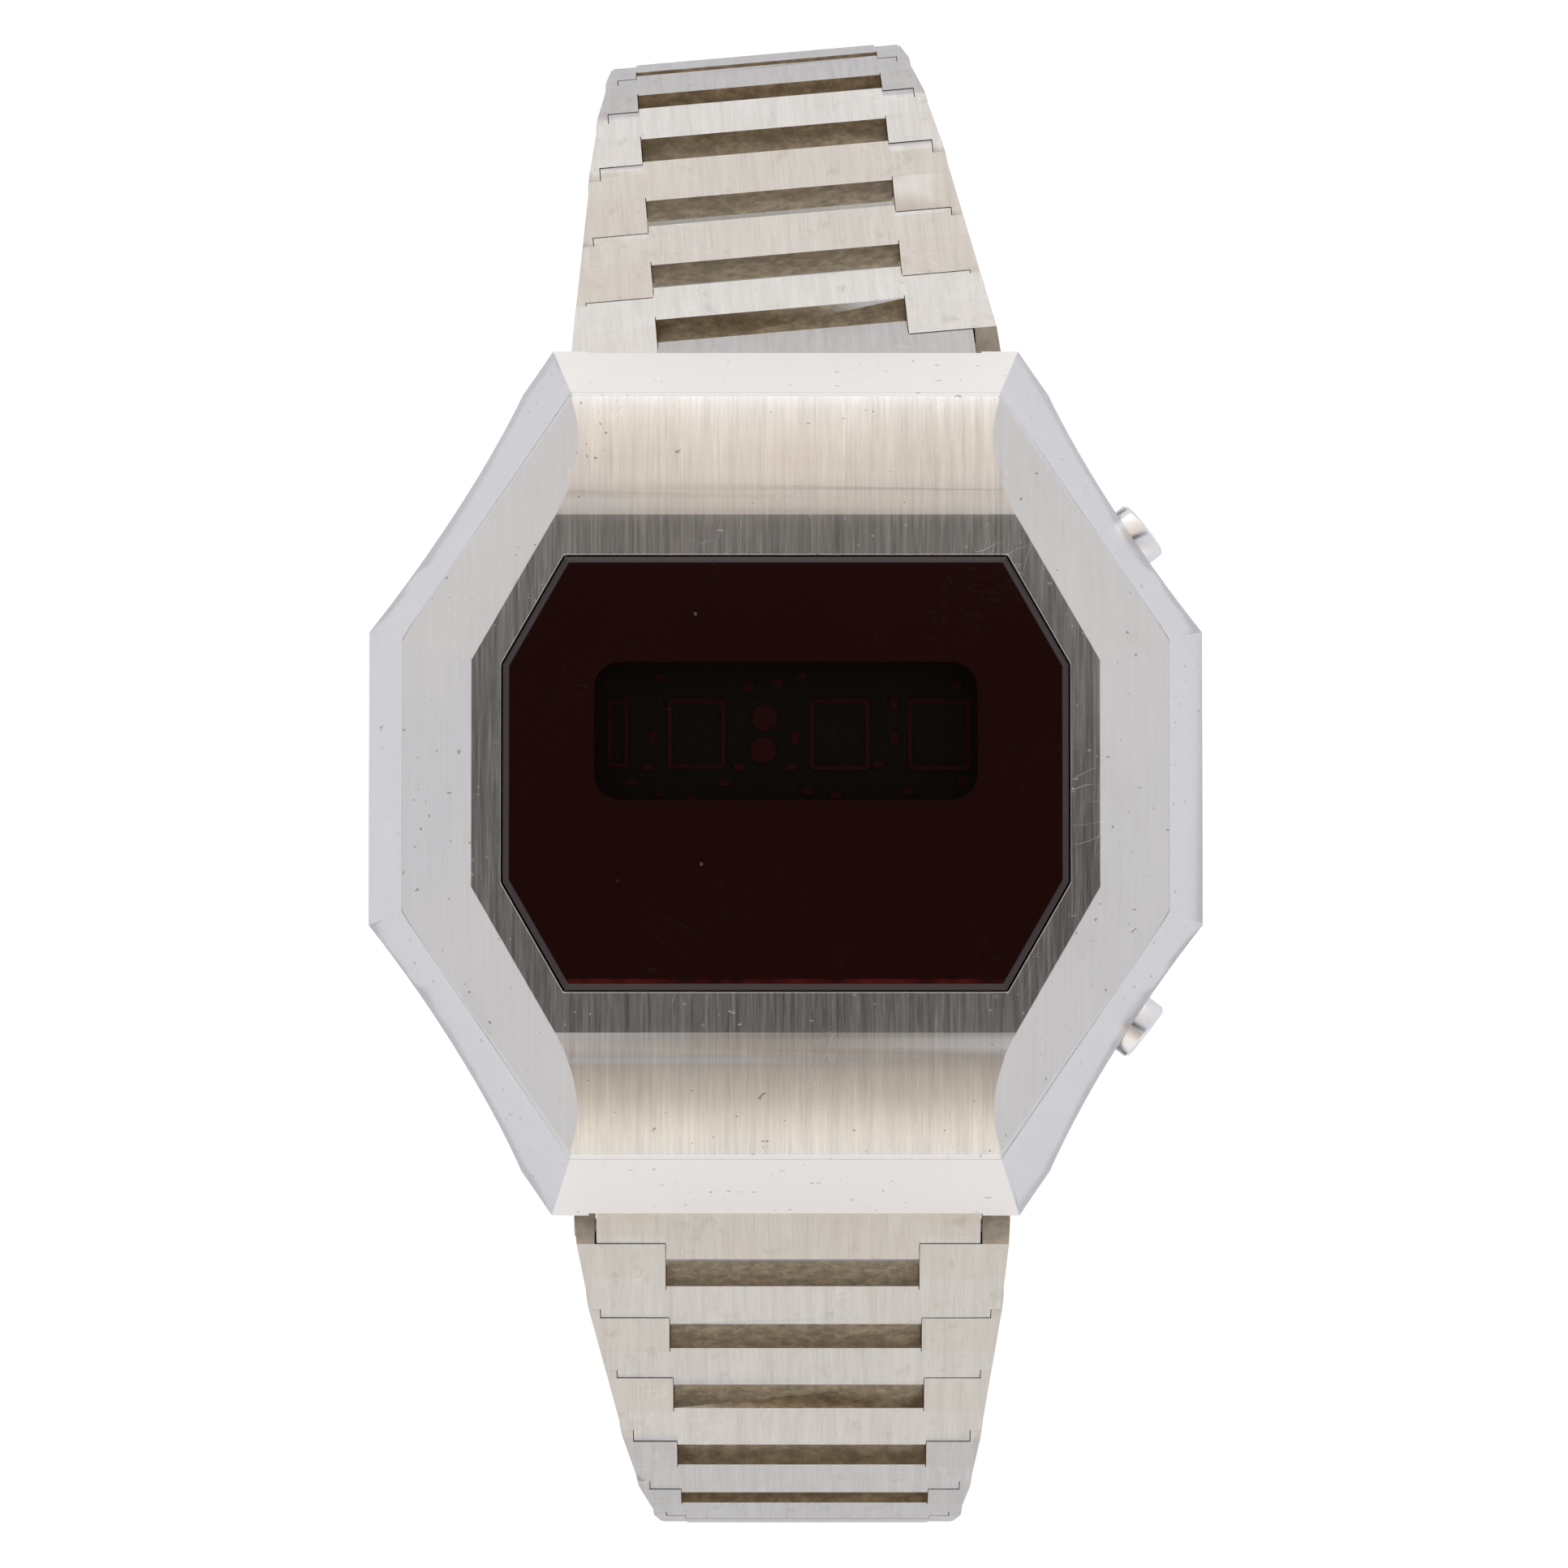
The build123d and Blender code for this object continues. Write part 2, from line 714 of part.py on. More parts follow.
def bar(place, hinge_y, drift):
    """A bar whose far hinge is at hinge_y: a wide middle, and round noses at both ends."""
    shell_x = half_width(place)
    nose_x = shell_x - ear_width - side_gap
    middle = block((-slot_half_x, slot_half_x), (hinge_y - bar_end_near, hinge_y + bar_far),
                   (-half_thickness, half_thickness))
    # The part between the link's own side pieces keeps to their middle
    middle += Pos(-drift, 0, 0) * block((-slot_half_x, slot_half_x),
                                        (hinge_y - bar_near, hinge_y - bar_end_near),
                                        (-half_thickness, half_thickness))
    ends = block((-half_width_start, half_width_start), (hinge_y - bar_end_near, hinge_y),
                 (-half_thickness, half_thickness))
    shape = middle + ends + rod(half_thickness, -nose_x, nose_x, hinge_y)
    for cup in both_sides(rod(cup_r, nose_x, shell_x + overrun, hinge_y)):
        shape -= cup
    pin_x = shell_x - side_gap
    return shape + rod(hinge_pin_r, -pin_x, pin_x, hinge_y)


def side_piece(far_y, nose_x, ear):
    """The piece beside a slot on the right: a cup over the last nose, with an ear on its pin."""
    inner = slot_half_x + side_gap
    shape = block((inner, half_width_start), (0, far_y), (-half_thickness, half_thickness))
    shape -= rod(cup_r, inner - overrun, nose_x)
    shape -= block((nose_x, half_width_start + overrun), (-overrun, bar_far), (-overrun, overrun))
    shape += ear
    return shape - rod(hinge_pin_r + hinge_pin_gap, nose_x - overrun, half_width_start + overrun)


def round_side(place, far_y):
    """A side piece with a round ear, for a link that hangs on a bar."""
    nose_x = half_width(place) - ear_width
    ear = block((nose_x, half_width_start), (0, far_y), (-half_thickness, half_thickness))
    return side_piece(far_y, nose_x, ear + rod(half_thickness, nose_x, half_width_start))


def square_side(nose_x, far_y):
    """The first link's side piece: its ear has a sloping shoulder and a square end."""
    top_y = sqrt(cup_r**2 - half_thickness**2)
    outline = [(far_y, half_thickness), (top_y, half_thickness),
               (-first_ear_reach, half_thickness - first_ear_drop), (-first_ear_reach, -first_ear_foot),
               (top_y - first_ear_foot, -half_thickness), (far_y, -half_thickness)]
    return side_piece(far_y, nose_x, side_prism(outline, nose_x, half_width_start))


def link(index, half):
    """One bar with its two side pieces. The index counts links from the end piece."""
    length = link_length(index)
    drift = drift_after(index, half)
    far_y = length - bar_end_near
    prism = taper_prism(index, length, drift)
    if index == 0:
        # The ears keep the same play on both sides of an end piece that stands off the middle
        reach = end_piece_half_x + first_side_play
        shift = drift_after(-1, half)
        cheeks = [square_side(reach - shift, far_y),
                  mirror(square_side(reach + shift, far_y), Plane.YZ)]
    else:
        cheeks = both_sides(round_side(index, far_y))
    solids = [Pos(drift, 0, 0) * bar(index + 1, length, drift)] + cheeks
    return [solid & prism for solid in solids]


def end_piece(half):
    """The plate that joins the bracelet to the head: knuckle on the spring bar, then a tongue."""
    plate = block((-end_piece_half_x, end_piece_half_x), (0, end_piece_length),
                  (-half_thickness, half_thickness))
    tongue = block((-slot_half_x, slot_half_x), (end_piece_length, end_piece_length + tongue_far),
                   (-half_thickness, half_thickness))
    plate += Pos(drift_after(-1, half), 0, 0) * tongue
    plate += rod(half_thickness, -end_piece_half_x, end_piece_half_x, end_piece_length)
    pin_x = half_width_start - first_link_shift - side_gap
    return plate + rod(hinge_pin_r, -pin_x, pin_x, end_piece_length)


# Clasp


def end_cheek(far_y):
    """The right cheek by which the clasp's pieces hang on the last link's nose."""
    shell_x = half_width(link_count)
    return round_side(link_count, far_y) & block((0, shell_x), (-link_pitch, far_y),
                                                 (-link_thickness, link_thickness))


def clasp_cover():
    """A tray with its open side to the wrist, hung on the last link's nose."""
    tip = clasp_length
    near = link_pitch / 2
    shell_x = half_width(link_count)
    outline = RectangleRounded(2 * clasp_half_x, tip, clasp_corner_r)
    tray = extrude(Pos(0, tip / 2, -clasp_wall_reach) * outline, clasp_face + clasp_wall_reach)
    inner_x = clasp_half_x - clasp_skin
    tray -= block((-inner_x, inner_x), (near, tip - clasp_skin), (-overrun, clasp_face - clasp_skin))
    # The hinge end is cut back round the last link, and two ears reach its pins
    tray -= block((-shell_x - side_gap, shell_x + side_gap), (-overrun, near),
                  (-overrun, overrun))
    tray -= block((-clasp_half_x - overrun, clasp_half_x + overrun), (-overrun, 0), (-overrun, overrun))
    far_y = near + clasp_hinge_block
    for piece in both_sides(end_cheek(far_y)):
        tray += piece
    tray -= rod(cup_r, -shell_x + ear_width, shell_x - ear_width)
    pin_y = tip - lever_pin_inset
    tray -= rod(lever_pin_r, -clasp_half_x, clasp_half_x, pin_y, lever_level)
    return tray


def lever_pin():
    pin_y = clasp_length - lever_pin_inset
    return rod(lever_pin_r, -clasp_half_x, clasp_half_x, pin_y, lever_level)


def clasp_lever():
    """The folding lever inside the tray, with a window and a hook at its free end."""
    pin_y = clasp_length - lever_pin_inset
    free_y = pin_y - lever_length
    z = (lever_level - lever_thickness / 2, lever_level + lever_thickness / 2)
    plate = block((-lever_half_x, lever_half_x), (free_y, pin_y), z)
    plate -= block((-lever_window_half_x, lever_window_half_x),
                   (free_y + lever_window_start, free_y + lever_window_end), (-overrun, overrun))
    plate += rod(lever_knuckle_r, -lever_half_x, lever_half_x, pin_y, lever_level)
    plate -= rod(lever_pin_r + hinge_pin_gap, -lever_half_x - overrun, lever_half_x + overrun,
                 pin_y, lever_level)
    stem = (free_y, free_y + hook_thickness)
    plate += block((-hook_half_x, hook_half_x), stem, (z[0] - hook_rise, z[0]))
    plate += block((-hook_half_x, hook_half_x), (free_y, free_y + hook_reach),
                   (z[0] - hook_rise, z[0] - hook_rise + hook_thickness))
    return plate


def catch_plate():
    """The slotted plate at the other end of the bracelet, which the hook catches."""
    shell_x = half_width(link_count)
    near = link_pitch / 2
    plate = block((-catch_half_x, catch_half_x), (near, catch_length),
                  (-catch_thickness / 2, catch_thickness / 2))
    for index in range(catch_slot_count):
        start = catch_slot_start + index * catch_slot_pitch
        plate -= block((-catch_slot_half_x, catch_slot_half_x), (start, start + catch_slot_length),
                       (-overrun, overrun))
    corners = plate.edges().filter_by(Axis.Z).sort_by(Axis.Y)[-2:]
    plate = fillet(corners, catch_corner_r)
    far_y = near + bar_far
    bridge = block((-shell_x, shell_x), (near, far_y), (-half_thickness, half_thickness))
    for piece in both_sides(end_cheek(far_y)):
        plate += piece
    return plate + bridge


# Assembly


def hinge_chain(first_fall, turns, half):
    """Each hinge's (x, y, drop, fall): its place from the head's middle and the slope beyond it."""
    x = end_piece_shift if half == "upper" else -end_piece_shift
    y = pivot_y
    drop = pivot_drop
    fall = first_fall
    places = [(x, y, drop, fall)]
    length = end_piece_length
    for index, turn in enumerate(turns):
        y += length * cos(radians(fall))
        drop += length * sin(radians(fall))
        fall += turn
        x += drift_after(index - 1, half)
        places.append((x, y, drop, fall))
        length = link_length(index)
    return places


upper_places = hinge_chain(first_fall_angle_upper, turn_angles_upper, "upper")
lower_places = hinge_chain(first_fall_angle_lower, turn_angles_lower, "lower")
head_height = lower_places[-1][2] + clasp_face
stance = Pos(0, stance_shift, head_height)


def strap_place(half, place):
    """Moves a bracelet piece from its own frame to its place on one half."""
    x, y, drop, fall = place
    turn, lean = (0, lean_angle_upper) if half == "upper" else (180, lean_angle_lower)
    to_pivot = Pos(x, pivot_y, 0) * Rot(0, 0, lean) * Pos(0, -pivot_y, 0)
    return stance * Rot(0, 0, turn) * to_pivot * Pos(0, y, -drop) * Rot(-fall, 0, 0)


def add_end_piece(half, place):
    """The plate leans with the bracelet, and its knuckle stays on the spring bar."""
    shape = strap_place(half, place) * end_piece(half)
    turn = 0 if half == "upper" else 180
    hub = stance * Rot(0, 0, turn) * Pos(place[0], pivot_y, -pivot_drop)
    knuckle = hub * rod(knuckle_r, -end_piece_half_x, end_piece_half_x)
    bore = hub * rod(spring_bar_r + knuckle_gap, -end_piece_half_x - overrun, end_piece_half_x + overrun)
    return shape + knuckle - bore


blank = case_blank()
head = {
    "top_cover": [top_cover(blank)],
    "mid_case": [mid_case(blank)],
    "lens": [lens()],
    "lens_gasket": [lens_gasket()],
    "display_mask": [display_mask()],
    "display_board": [display_board()],
    "led_digits": led_digits(),
    "colon_leds": colon_leds(),
    "circuit_board": [circuit_board()],
    "logic_chip": [logic_chip()],
    "quartz_crystal": [quartz_crystal()],
    "trimmer_capacitor": [trimmer()],
    "switch_contacts": switch_contacts(),
    "module_frame": [module_frame()],
    "module_screws": module_screws(),
    "button_cell_left": [button_cell(-cell_x)],
    "button_cell_right": [button_cell(cell_x)],
    "cell_contact": [cell_contact()],
    "case_back": [case_back()],
    "case_back_gasket": [back_gasket()],
    "spring_bars": [spring_bar(1), spring_bar(-1)],
    "pusher_tubes": [pusher_place(side) * pusher_tube() for side in (1, -1)],
    "pusher_seals": [pusher_place(side) * pusher_seal() for side in (1, -1)],
}
for side, word in ((1, "upper"), (-1, "lower")):
    head["pusher_" + word] = [pusher_place(side) * pusher()]
    head["pusher_clip_" + word] = [pusher_place(side) * pusher_clip()]
    head["pusher_spring_" + word] = [pusher_place(side) * pusher_spring()]
nodes = {name: [stance * solid for solid in solids] for name, solids in head.items()}

for half, places in (("upper", upper_places), ("lower", lower_places)):
    nodes["end_piece_" + half] = [add_end_piece(half, places[0])]
    for index in range(link_count):
        spot = strap_place(half, places[index + 1])
        nodes[f"link_{half}_{index + 1:02d}"] = [spot * solid for solid in link(index, half)]

nodes["catch_plate"] = [strap_place("upper", upper_places[-1]) * catch_plate()]
nodes["clasp_cover"] = [strap_place("lower", lower_places[-1]) * clasp_cover()]
nodes["clasp_lever"] = [strap_place("lower", lower_places[-1]) * clasp_lever()]
nodes["clasp_lever_pin"] = [strap_place("lower", lower_places[-1]) * lever_pin()]

for name, solids in nodes.items():
    shape = solids[0] if len(solids) == 1 else Compound(children=list(solids))
    export_step(shape, f"parts/{name}.step")

for half, places in (("upper", upper_places), ("lower", lower_places)):
    for index, (x, y, drop, fall) in enumerate(places):
        print(half, index, round(x, 4), round(y, 4), round(head_height - drop, 4), round(fall, 1))
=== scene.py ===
import json
from math import cos, pi, radians, sin

import bmesh
import bpy
from mathutils import Matrix, Vector


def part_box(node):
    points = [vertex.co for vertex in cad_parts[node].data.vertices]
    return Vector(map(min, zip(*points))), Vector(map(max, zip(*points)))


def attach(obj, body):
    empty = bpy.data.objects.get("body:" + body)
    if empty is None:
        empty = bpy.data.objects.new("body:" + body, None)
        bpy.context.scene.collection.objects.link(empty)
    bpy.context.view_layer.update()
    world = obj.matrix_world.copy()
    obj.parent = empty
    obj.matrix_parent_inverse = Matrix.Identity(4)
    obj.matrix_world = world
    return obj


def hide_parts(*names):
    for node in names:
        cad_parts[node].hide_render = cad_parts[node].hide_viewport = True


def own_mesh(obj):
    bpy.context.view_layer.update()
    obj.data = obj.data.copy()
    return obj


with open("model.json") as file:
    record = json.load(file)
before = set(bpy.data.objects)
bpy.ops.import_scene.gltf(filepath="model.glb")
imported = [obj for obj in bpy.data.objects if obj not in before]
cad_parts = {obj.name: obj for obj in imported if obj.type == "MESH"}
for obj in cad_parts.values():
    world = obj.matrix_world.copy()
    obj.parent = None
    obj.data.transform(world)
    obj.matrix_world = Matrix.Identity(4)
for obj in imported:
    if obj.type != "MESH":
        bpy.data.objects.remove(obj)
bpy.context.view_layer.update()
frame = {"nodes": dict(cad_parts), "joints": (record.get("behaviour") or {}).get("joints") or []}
NODES = frame["nodes"]
MM = 1000  # Millimetres in a metre

bl_info = {
    "name": "LED watch",
    "version": (1, 0, 0),
    "blender": (4, 5, 0),
    "location": "View3D > Sidebar > Watch",
    "description": "Finishes a steel LED wristwatch and sets it on a white stage",
    "category": "Object",
}


def colour_property(name, description, default):
    return bpy.props.FloatVectorProperty(name=name, description=description, default=default,
                                         subtype="COLOR", size=3, min=0, max=1)


def length_property(name, description, default):
    return bpy.props.FloatProperty(name=name, description=description, default=default, min=0,
                                   precision=6, subtype="DISTANCE", unit="LENGTH")


def share_property(name, description, default):
    return bpy.props.FloatProperty(name=name, description=description, default=default, min=0, max=1,
                                   subtype="FACTOR")


class SteelFinish(bpy.types.PropertyGroup):
    """Colours and wear of the steel pieces."""
    cover: colour_property("Cover", "Brushed steel of the top cover", (0.80, 0.79, 0.77))
    case: colour_property("Case", "Satin steel of the case sides", (0.79, 0.79, 0.80))
    ends: colour_property("Case ends", "Finely blasted steel of the case's two end faces",
                          (1.0, 0.995, 0.985))
    link: colour_property("Bars", "Steel of the bracelet's bars", (0.665, 0.655, 0.635))
    cheek: colour_property("Side pieces", "Steel of the bracelet's side pieces", (0.65, 0.625, 0.595))
    # Slot walls: brown dirt and painted shade, darker and browner than the bars' steel
    slot: colour_property("Slot walls", "Dirt and painted shade on the walls inside the bracelet's slots", (0.46, 0.375, 0.26))
    back: colour_property("Back", "Steel of the case back", (0.66, 0.66, 0.66))
    clasp: colour_property("Clasp", "Sheet steel of the clasp", (0.74, 0.735, 0.72))
    chrome: colour_property("Buttons", "Polished steel of the push buttons", (0.86, 0.865, 0.88))
    dirt: colour_property("Dirt", "What has settled in the grain and corners", (0.23, 0.19, 0.14))
    grain: length_property("Grain depth", "Depth of the brushed grain", 0.0000022)
    edge: length_property("Edge radius", "Rounding along the case's edges", 0.00005)
    link_edge: length_property("Link edge radius", "Rounding along the bracelet's edges", 0.000015)


class CrownWear(bpy.types.PropertyGroup):
    """How the crown is worn where its flat meets its curves, measured from the middle of the cover."""
    flat_end: length_property("Flat's end", "Where the flat starts to fall", 0.0116)
    fall_reach: length_property("Fall's reach", "Over what length the fall grows", 0.0026)
    fall: bpy.props.FloatProperty(name="Fall", description="Depth of the fall at its end, in mm",
                                  default=0.127)
    curve_start: length_property("Curve's start", "Where the curve starts", 0.0123)
    curve_reach: length_property("Curve's reach", "How much of the curve is flattened", 0.0019)
    lift: bpy.props.FloatProperty(name="Lift", description="Lift of the curve, in mm per square mm",
                                  default=0.0383, precision=4)


class LinkZones(bpy.types.PropertyGroup):
    """Where a link's side pieces and slot walls are, from the middle of its hinge."""
    cheek_from: length_property("Side piece", "Where the side pieces start", 0.0061)
    cheek_blend: length_property("Side piece blend", "Over what width their colour sets in", 0.00015)
    cheek_to: length_property("Side piece end", "How far the side pieces reach along the link", 0.00225)
    end_blend: length_property("End blend", "Over what length their colour stops", 0.00005)
    # Out to this width the side walls inside the slot take the dirt and painted shade
    wall_to: length_property("Slot wall", "How far out the slot's side walls are", 0.0063)
    wall_blend: length_property("Slot wall blend", "Over what width their dirt and painted shade stop", 0.0003)


class LensFinish(bpy.types.PropertyGroup):
    """Colours of the lens and what lies under it, and the place of the lens's red line."""
    glass: colour_property("Glass", "Body of the dark lens", (0.0022, 0.0004, 0.0003))
    rim: colour_property("Rim line", "Red line inside the lower edge", (0.11, 0.012, 0.010))
    mask: colour_property("Mask", "Plate round the display window", (0.21, 0.040, 0.033))
    board: colour_property("Display board", "Board that carries the digits", (0.060, 0.062, 0.044))
    segment: colour_property("Segments", "Unlit digit segments and solder pads", (0.33, 0.055, 0.050))
    border: colour_property("Border", "Dark red print round the lens's window", (0.0148, 0.0033, 0.0028))
    cover: share_property("Cover", "How much of what lies under it the lens hides", 0.5)
    edge: length_property("Edge radius", "Rounding along the lens's edges", 0.00003)
    line_rise: length_property("Line rise", "From the lens's lower edge to the red line", 0.00042)
    line_core: length_property("Line core", "Half the width where the line is full", 0.00003)
    line_half: length_property("Line half width", "Half the width where the line ends", 0.00016)
    line_reach: length_property("Line reach", "Half the length of the full line", 0.010)
    line_fade: length_property("Line fade", "Over what length the line ends", 0.0005)


class DisplaySizes(bpy.types.PropertyGroup):
    """Sizes and places of the display, from the middle of the lens."""
    rise: length_property("Rise", "How far the window sits towards twelve o'clock", 0.00198)
    half_width: length_property("Window half width", "Half the width of the window", 0.0091)
    half_height: length_property("Window half height", "Half the height of the window", 0.0033)
    corner: length_property("Window corner", "Corner radius of the window", 0.0013)
    mask_half_height: length_property("Mask half height", "Half the height of the plate round the window",
                                      0.0096)
    mask_corner: length_property("Mask corner", "Corner radius of that plate", 0.005)
    stroke: length_property("Stroke", "Width of the digits' outlines", 0.00019)
    height: length_property("Digit height", "Height of the digits and pads over the mask's foot", 0.00014)
    dot: length_property("Dot", "Radius of the two dots", 0.00062)
    pad: length_property("Pad", "Half the length of a solder pad", 0.00026)
    pad_corner: share_property("Pad corner", "Corner radius of a pad as a share of its half length", 0.4)


class ModuleFinish(bpy.types.PropertyGroup):
    """Colours of the parts inside the case."""
    board: colour_property("Circuit board", "Solder mask of the circuit board", (0.04, 0.16, 0.07))
    plastic: colour_property("Frame", "Moulded frame of the module", (0.07, 0.07, 0.075))
    brass: colour_property("Contacts", "Brass of the contacts", (0.78, 0.60, 0.30))
    cell: colour_property("Cells", "Steel of the button cells", (0.78, 0.78, 0.78))
    can: colour_property("Crystal can", "Can of the quartz crystal", (0.74, 0.75, 0.77))
    chip: colour_property("Chip", "Moulding of the logic chip", (0.02, 0.02, 0.021))
    rubber: colour_property("Rubber", "Gaskets and seals", (0.02, 0.02, 0.02))


class SpringSizes(bpy.types.PropertyGroup):
    """Sizes of the coil spring under each button cap."""
    wire: length_property("Wire", "Thickness of the spring's wire", 0.00024)
    turns: bpy.props.FloatProperty(name="Turns", description="Turns in each spring", default=3.5, min=1)
    steps: bpy.props.IntProperty(name="Steps", description="Points in one turn of the wire",
                                 default=16, min=8)
    flat: share_property("Ground end", "Share of the wire that lies flat at each end", 0.14)
    squeeze: share_property("Pressed length", "Length of a pressed spring as a share of its free length",
                            0.53)


class StageSetup(bpy.types.PropertyGroup):
    """The camera, the floor and the light, with the shade's place and sizes as parts of a direction."""
    distance: length_property("Camera distance", "From the lens to the camera", 0.295)
    lean: bpy.props.FloatProperty(name="Camera lean", description="Tilt of the view towards six o'clock",
                                  default=radians(2.5), subtype="ANGLE")
    view_width: length_property("View width", "Width of the picture at the lens", 0.07431)
    floor_size: length_property("Floor size", "Side of the square floor", 3.0)
    floor: colour_property("Floor", "Colour of the floor and backdrop", (0.93, 0.93, 0.93))
    cool: colour_property("Cool light", "Light from the sides", (0.765, 0.76, 0.80))
    dark: colour_property("Camera shade", "What polished faces see round the camera", (0.015, 0.017, 0.019))
    floor_lift: share_property("Floor lift", "Extra white of the floor as the camera sees it", 0.5)
    floor_glint: colour_property("Floor glint", "Extra light of the floor as steel and glass see it",
                                 (0.07, 0.10, 0.15))
    aim: bpy.props.FloatVectorProperty(name="Aim", description="Offset of the camera's aim",
                                       default=(-0.00008, -0.0005, 0), precision=6, subtype="TRANSLATION",
                                       unit="LENGTH")
    sensor: bpy.props.FloatProperty(name="Sensor", description="Width of the camera's sensor, in mm",
                                    default=36, min=1)
    nearest: length_property("Nearest", "Nearest distance that the camera shows", 0.01)
    farthest: length_property("Farthest", "Farthest distance that the camera shows", 20)
    shade_front: bpy.props.FloatProperty(name="Shade place", description="Its middle, towards twelve o'clock",
                                         default=0.027)
    shade_depth: share_property("Shade depth", "Size of the shade from six to twelve o'clock", 0.09)
    shade_width: share_property("Shade width", "Size of the shade from side to side", 0.3)
    shade_core: bpy.props.FloatProperty(name="Shade core", description="Where the full shade ends, in sizes",
                                        default=0.45)
    shade_end: bpy.props.FloatProperty(name="Shade end", description="Where the shade ends, in sizes",
                                       default=2.1)


GROUPS = {"watch_steel": SteelFinish, "watch_crown": CrownWear, "watch_links": LinkZones,
          "watch_lens": LensFinish, "watch_display": DisplaySizes, "watch_module": ModuleFinish,
          "watch_spring": SpringSizes, "watch_stage": StageSetup}

# Points this close are one when edges are softened, and edges that turn less than this stay as they are
WELD_REACH = 0.000001
EDGE_ANGLE = radians(28)

# Digits as left, right, low and high edges; dots and pads as places; all in mm from the window's middle
DIGITS = ((-8.50, -7.50, -1.60, 1.65), (-5.62, -2.88, -1.66, 1.65),
          (1.15, 3.99, -1.74, 1.65), (5.84, 8.80, -1.74, 1.65))
DOTS = ((-1.0, 0.74), (-1.08, -0.80))
PADS = ((-5.96, 2.67), (-1.73, 2.2), (-0.39, 2.44), (0.77, 2.75), (8.15, 2.29), (-6.58, -1.6),
        (-7.31, -2.33), (-2.23, -1.6), (-2.89, -2.33), (-6.0, -2.87), (0.27, -1.6), (1.04, -2.75),
        (4.42, -1.48), (5.84, -2.75), (8.42, -2.29), (-4.43, -3.0), (2.38, -2.95))
UPRIGHT_PADS = ((-6.35, -0.21), (0.46, -0.21), (5.19, 1.48), (5.19, -0.21))
# Half width and half height of a pad, as shares of the pad's size
PAD_SHAPE = (1.0, 0.6)
UPRIGHT_PAD_SHAPE = (0.7, 1.1)

# The tent's light from the six o'clock horizon, over the top, to the twelve o'clock horizon
TENT_STOPS = ((0.045, (0.98, 0.955, 0.92, 1)), (0.15, (1.05, 0.97, 0.88, 1)),
              (0.275, (0.67, 0.585, 0.52, 1)), (0.42, (0.43, 0.38, 0.33, 1)),
              (0.56, (0.62, 0.56, 0.50, 1)), (0.64, (0.82, 0.73, 0.66, 1)),
              (0.75, (0.92, 0.83, 0.745, 1)), (0.865, (1.03, 0.94, 0.865, 1)),
              (0.95, (1.3, 1.28, 1.27, 1)))


# Shader maths


class Wire:
    """A shader output that arithmetic works on: each operator adds its Math node."""

    def __init__(self, paint, socket):
        self.paint = paint
        self.socket = socket

    def maths(self, operation, *values):
        return self.paint.node("ShaderNodeMath", {"operation": operation}, dict(enumerate(values)))

    def __add__(self, other):
        return self.maths("ADD", self, other)

    def __radd__(self, other):
        return self.maths("ADD", other, self)

    def __sub__(self, other):
        return self.maths("SUBTRACT", self, other)

    def __rsub__(self, other):
        return self.maths("SUBTRACT", other, self)

    def __mul__(self, other):
        return self.maths("MULTIPLY", self, other)

    def __truediv__(self, other):
        return self.maths("DIVIDE", self, other)

    def __pow__(self, other):
        return self.maths("POWER", self, other)

    def __abs__(self):
        return self.maths("ABSOLUTE", self)

    def most(self, other):
        return self.maths("MAXIMUM", self, other)

    def least(self, other):
        return self.maths("MINIMUM", self, other)

    def step(self, low, high):
        """Rises smoothly from 0 at low to 1 at high."""
        return self.paint.node("ShaderNodeMapRange", {"interpolation_type": "SMOOTHSTEP"},
                               {"Value": self, "From Min": low, "From Max": high})

    def out(self, name):
        """Another output of the same node."""
        return Wire(self.paint, self.socket.node.outputs[name])


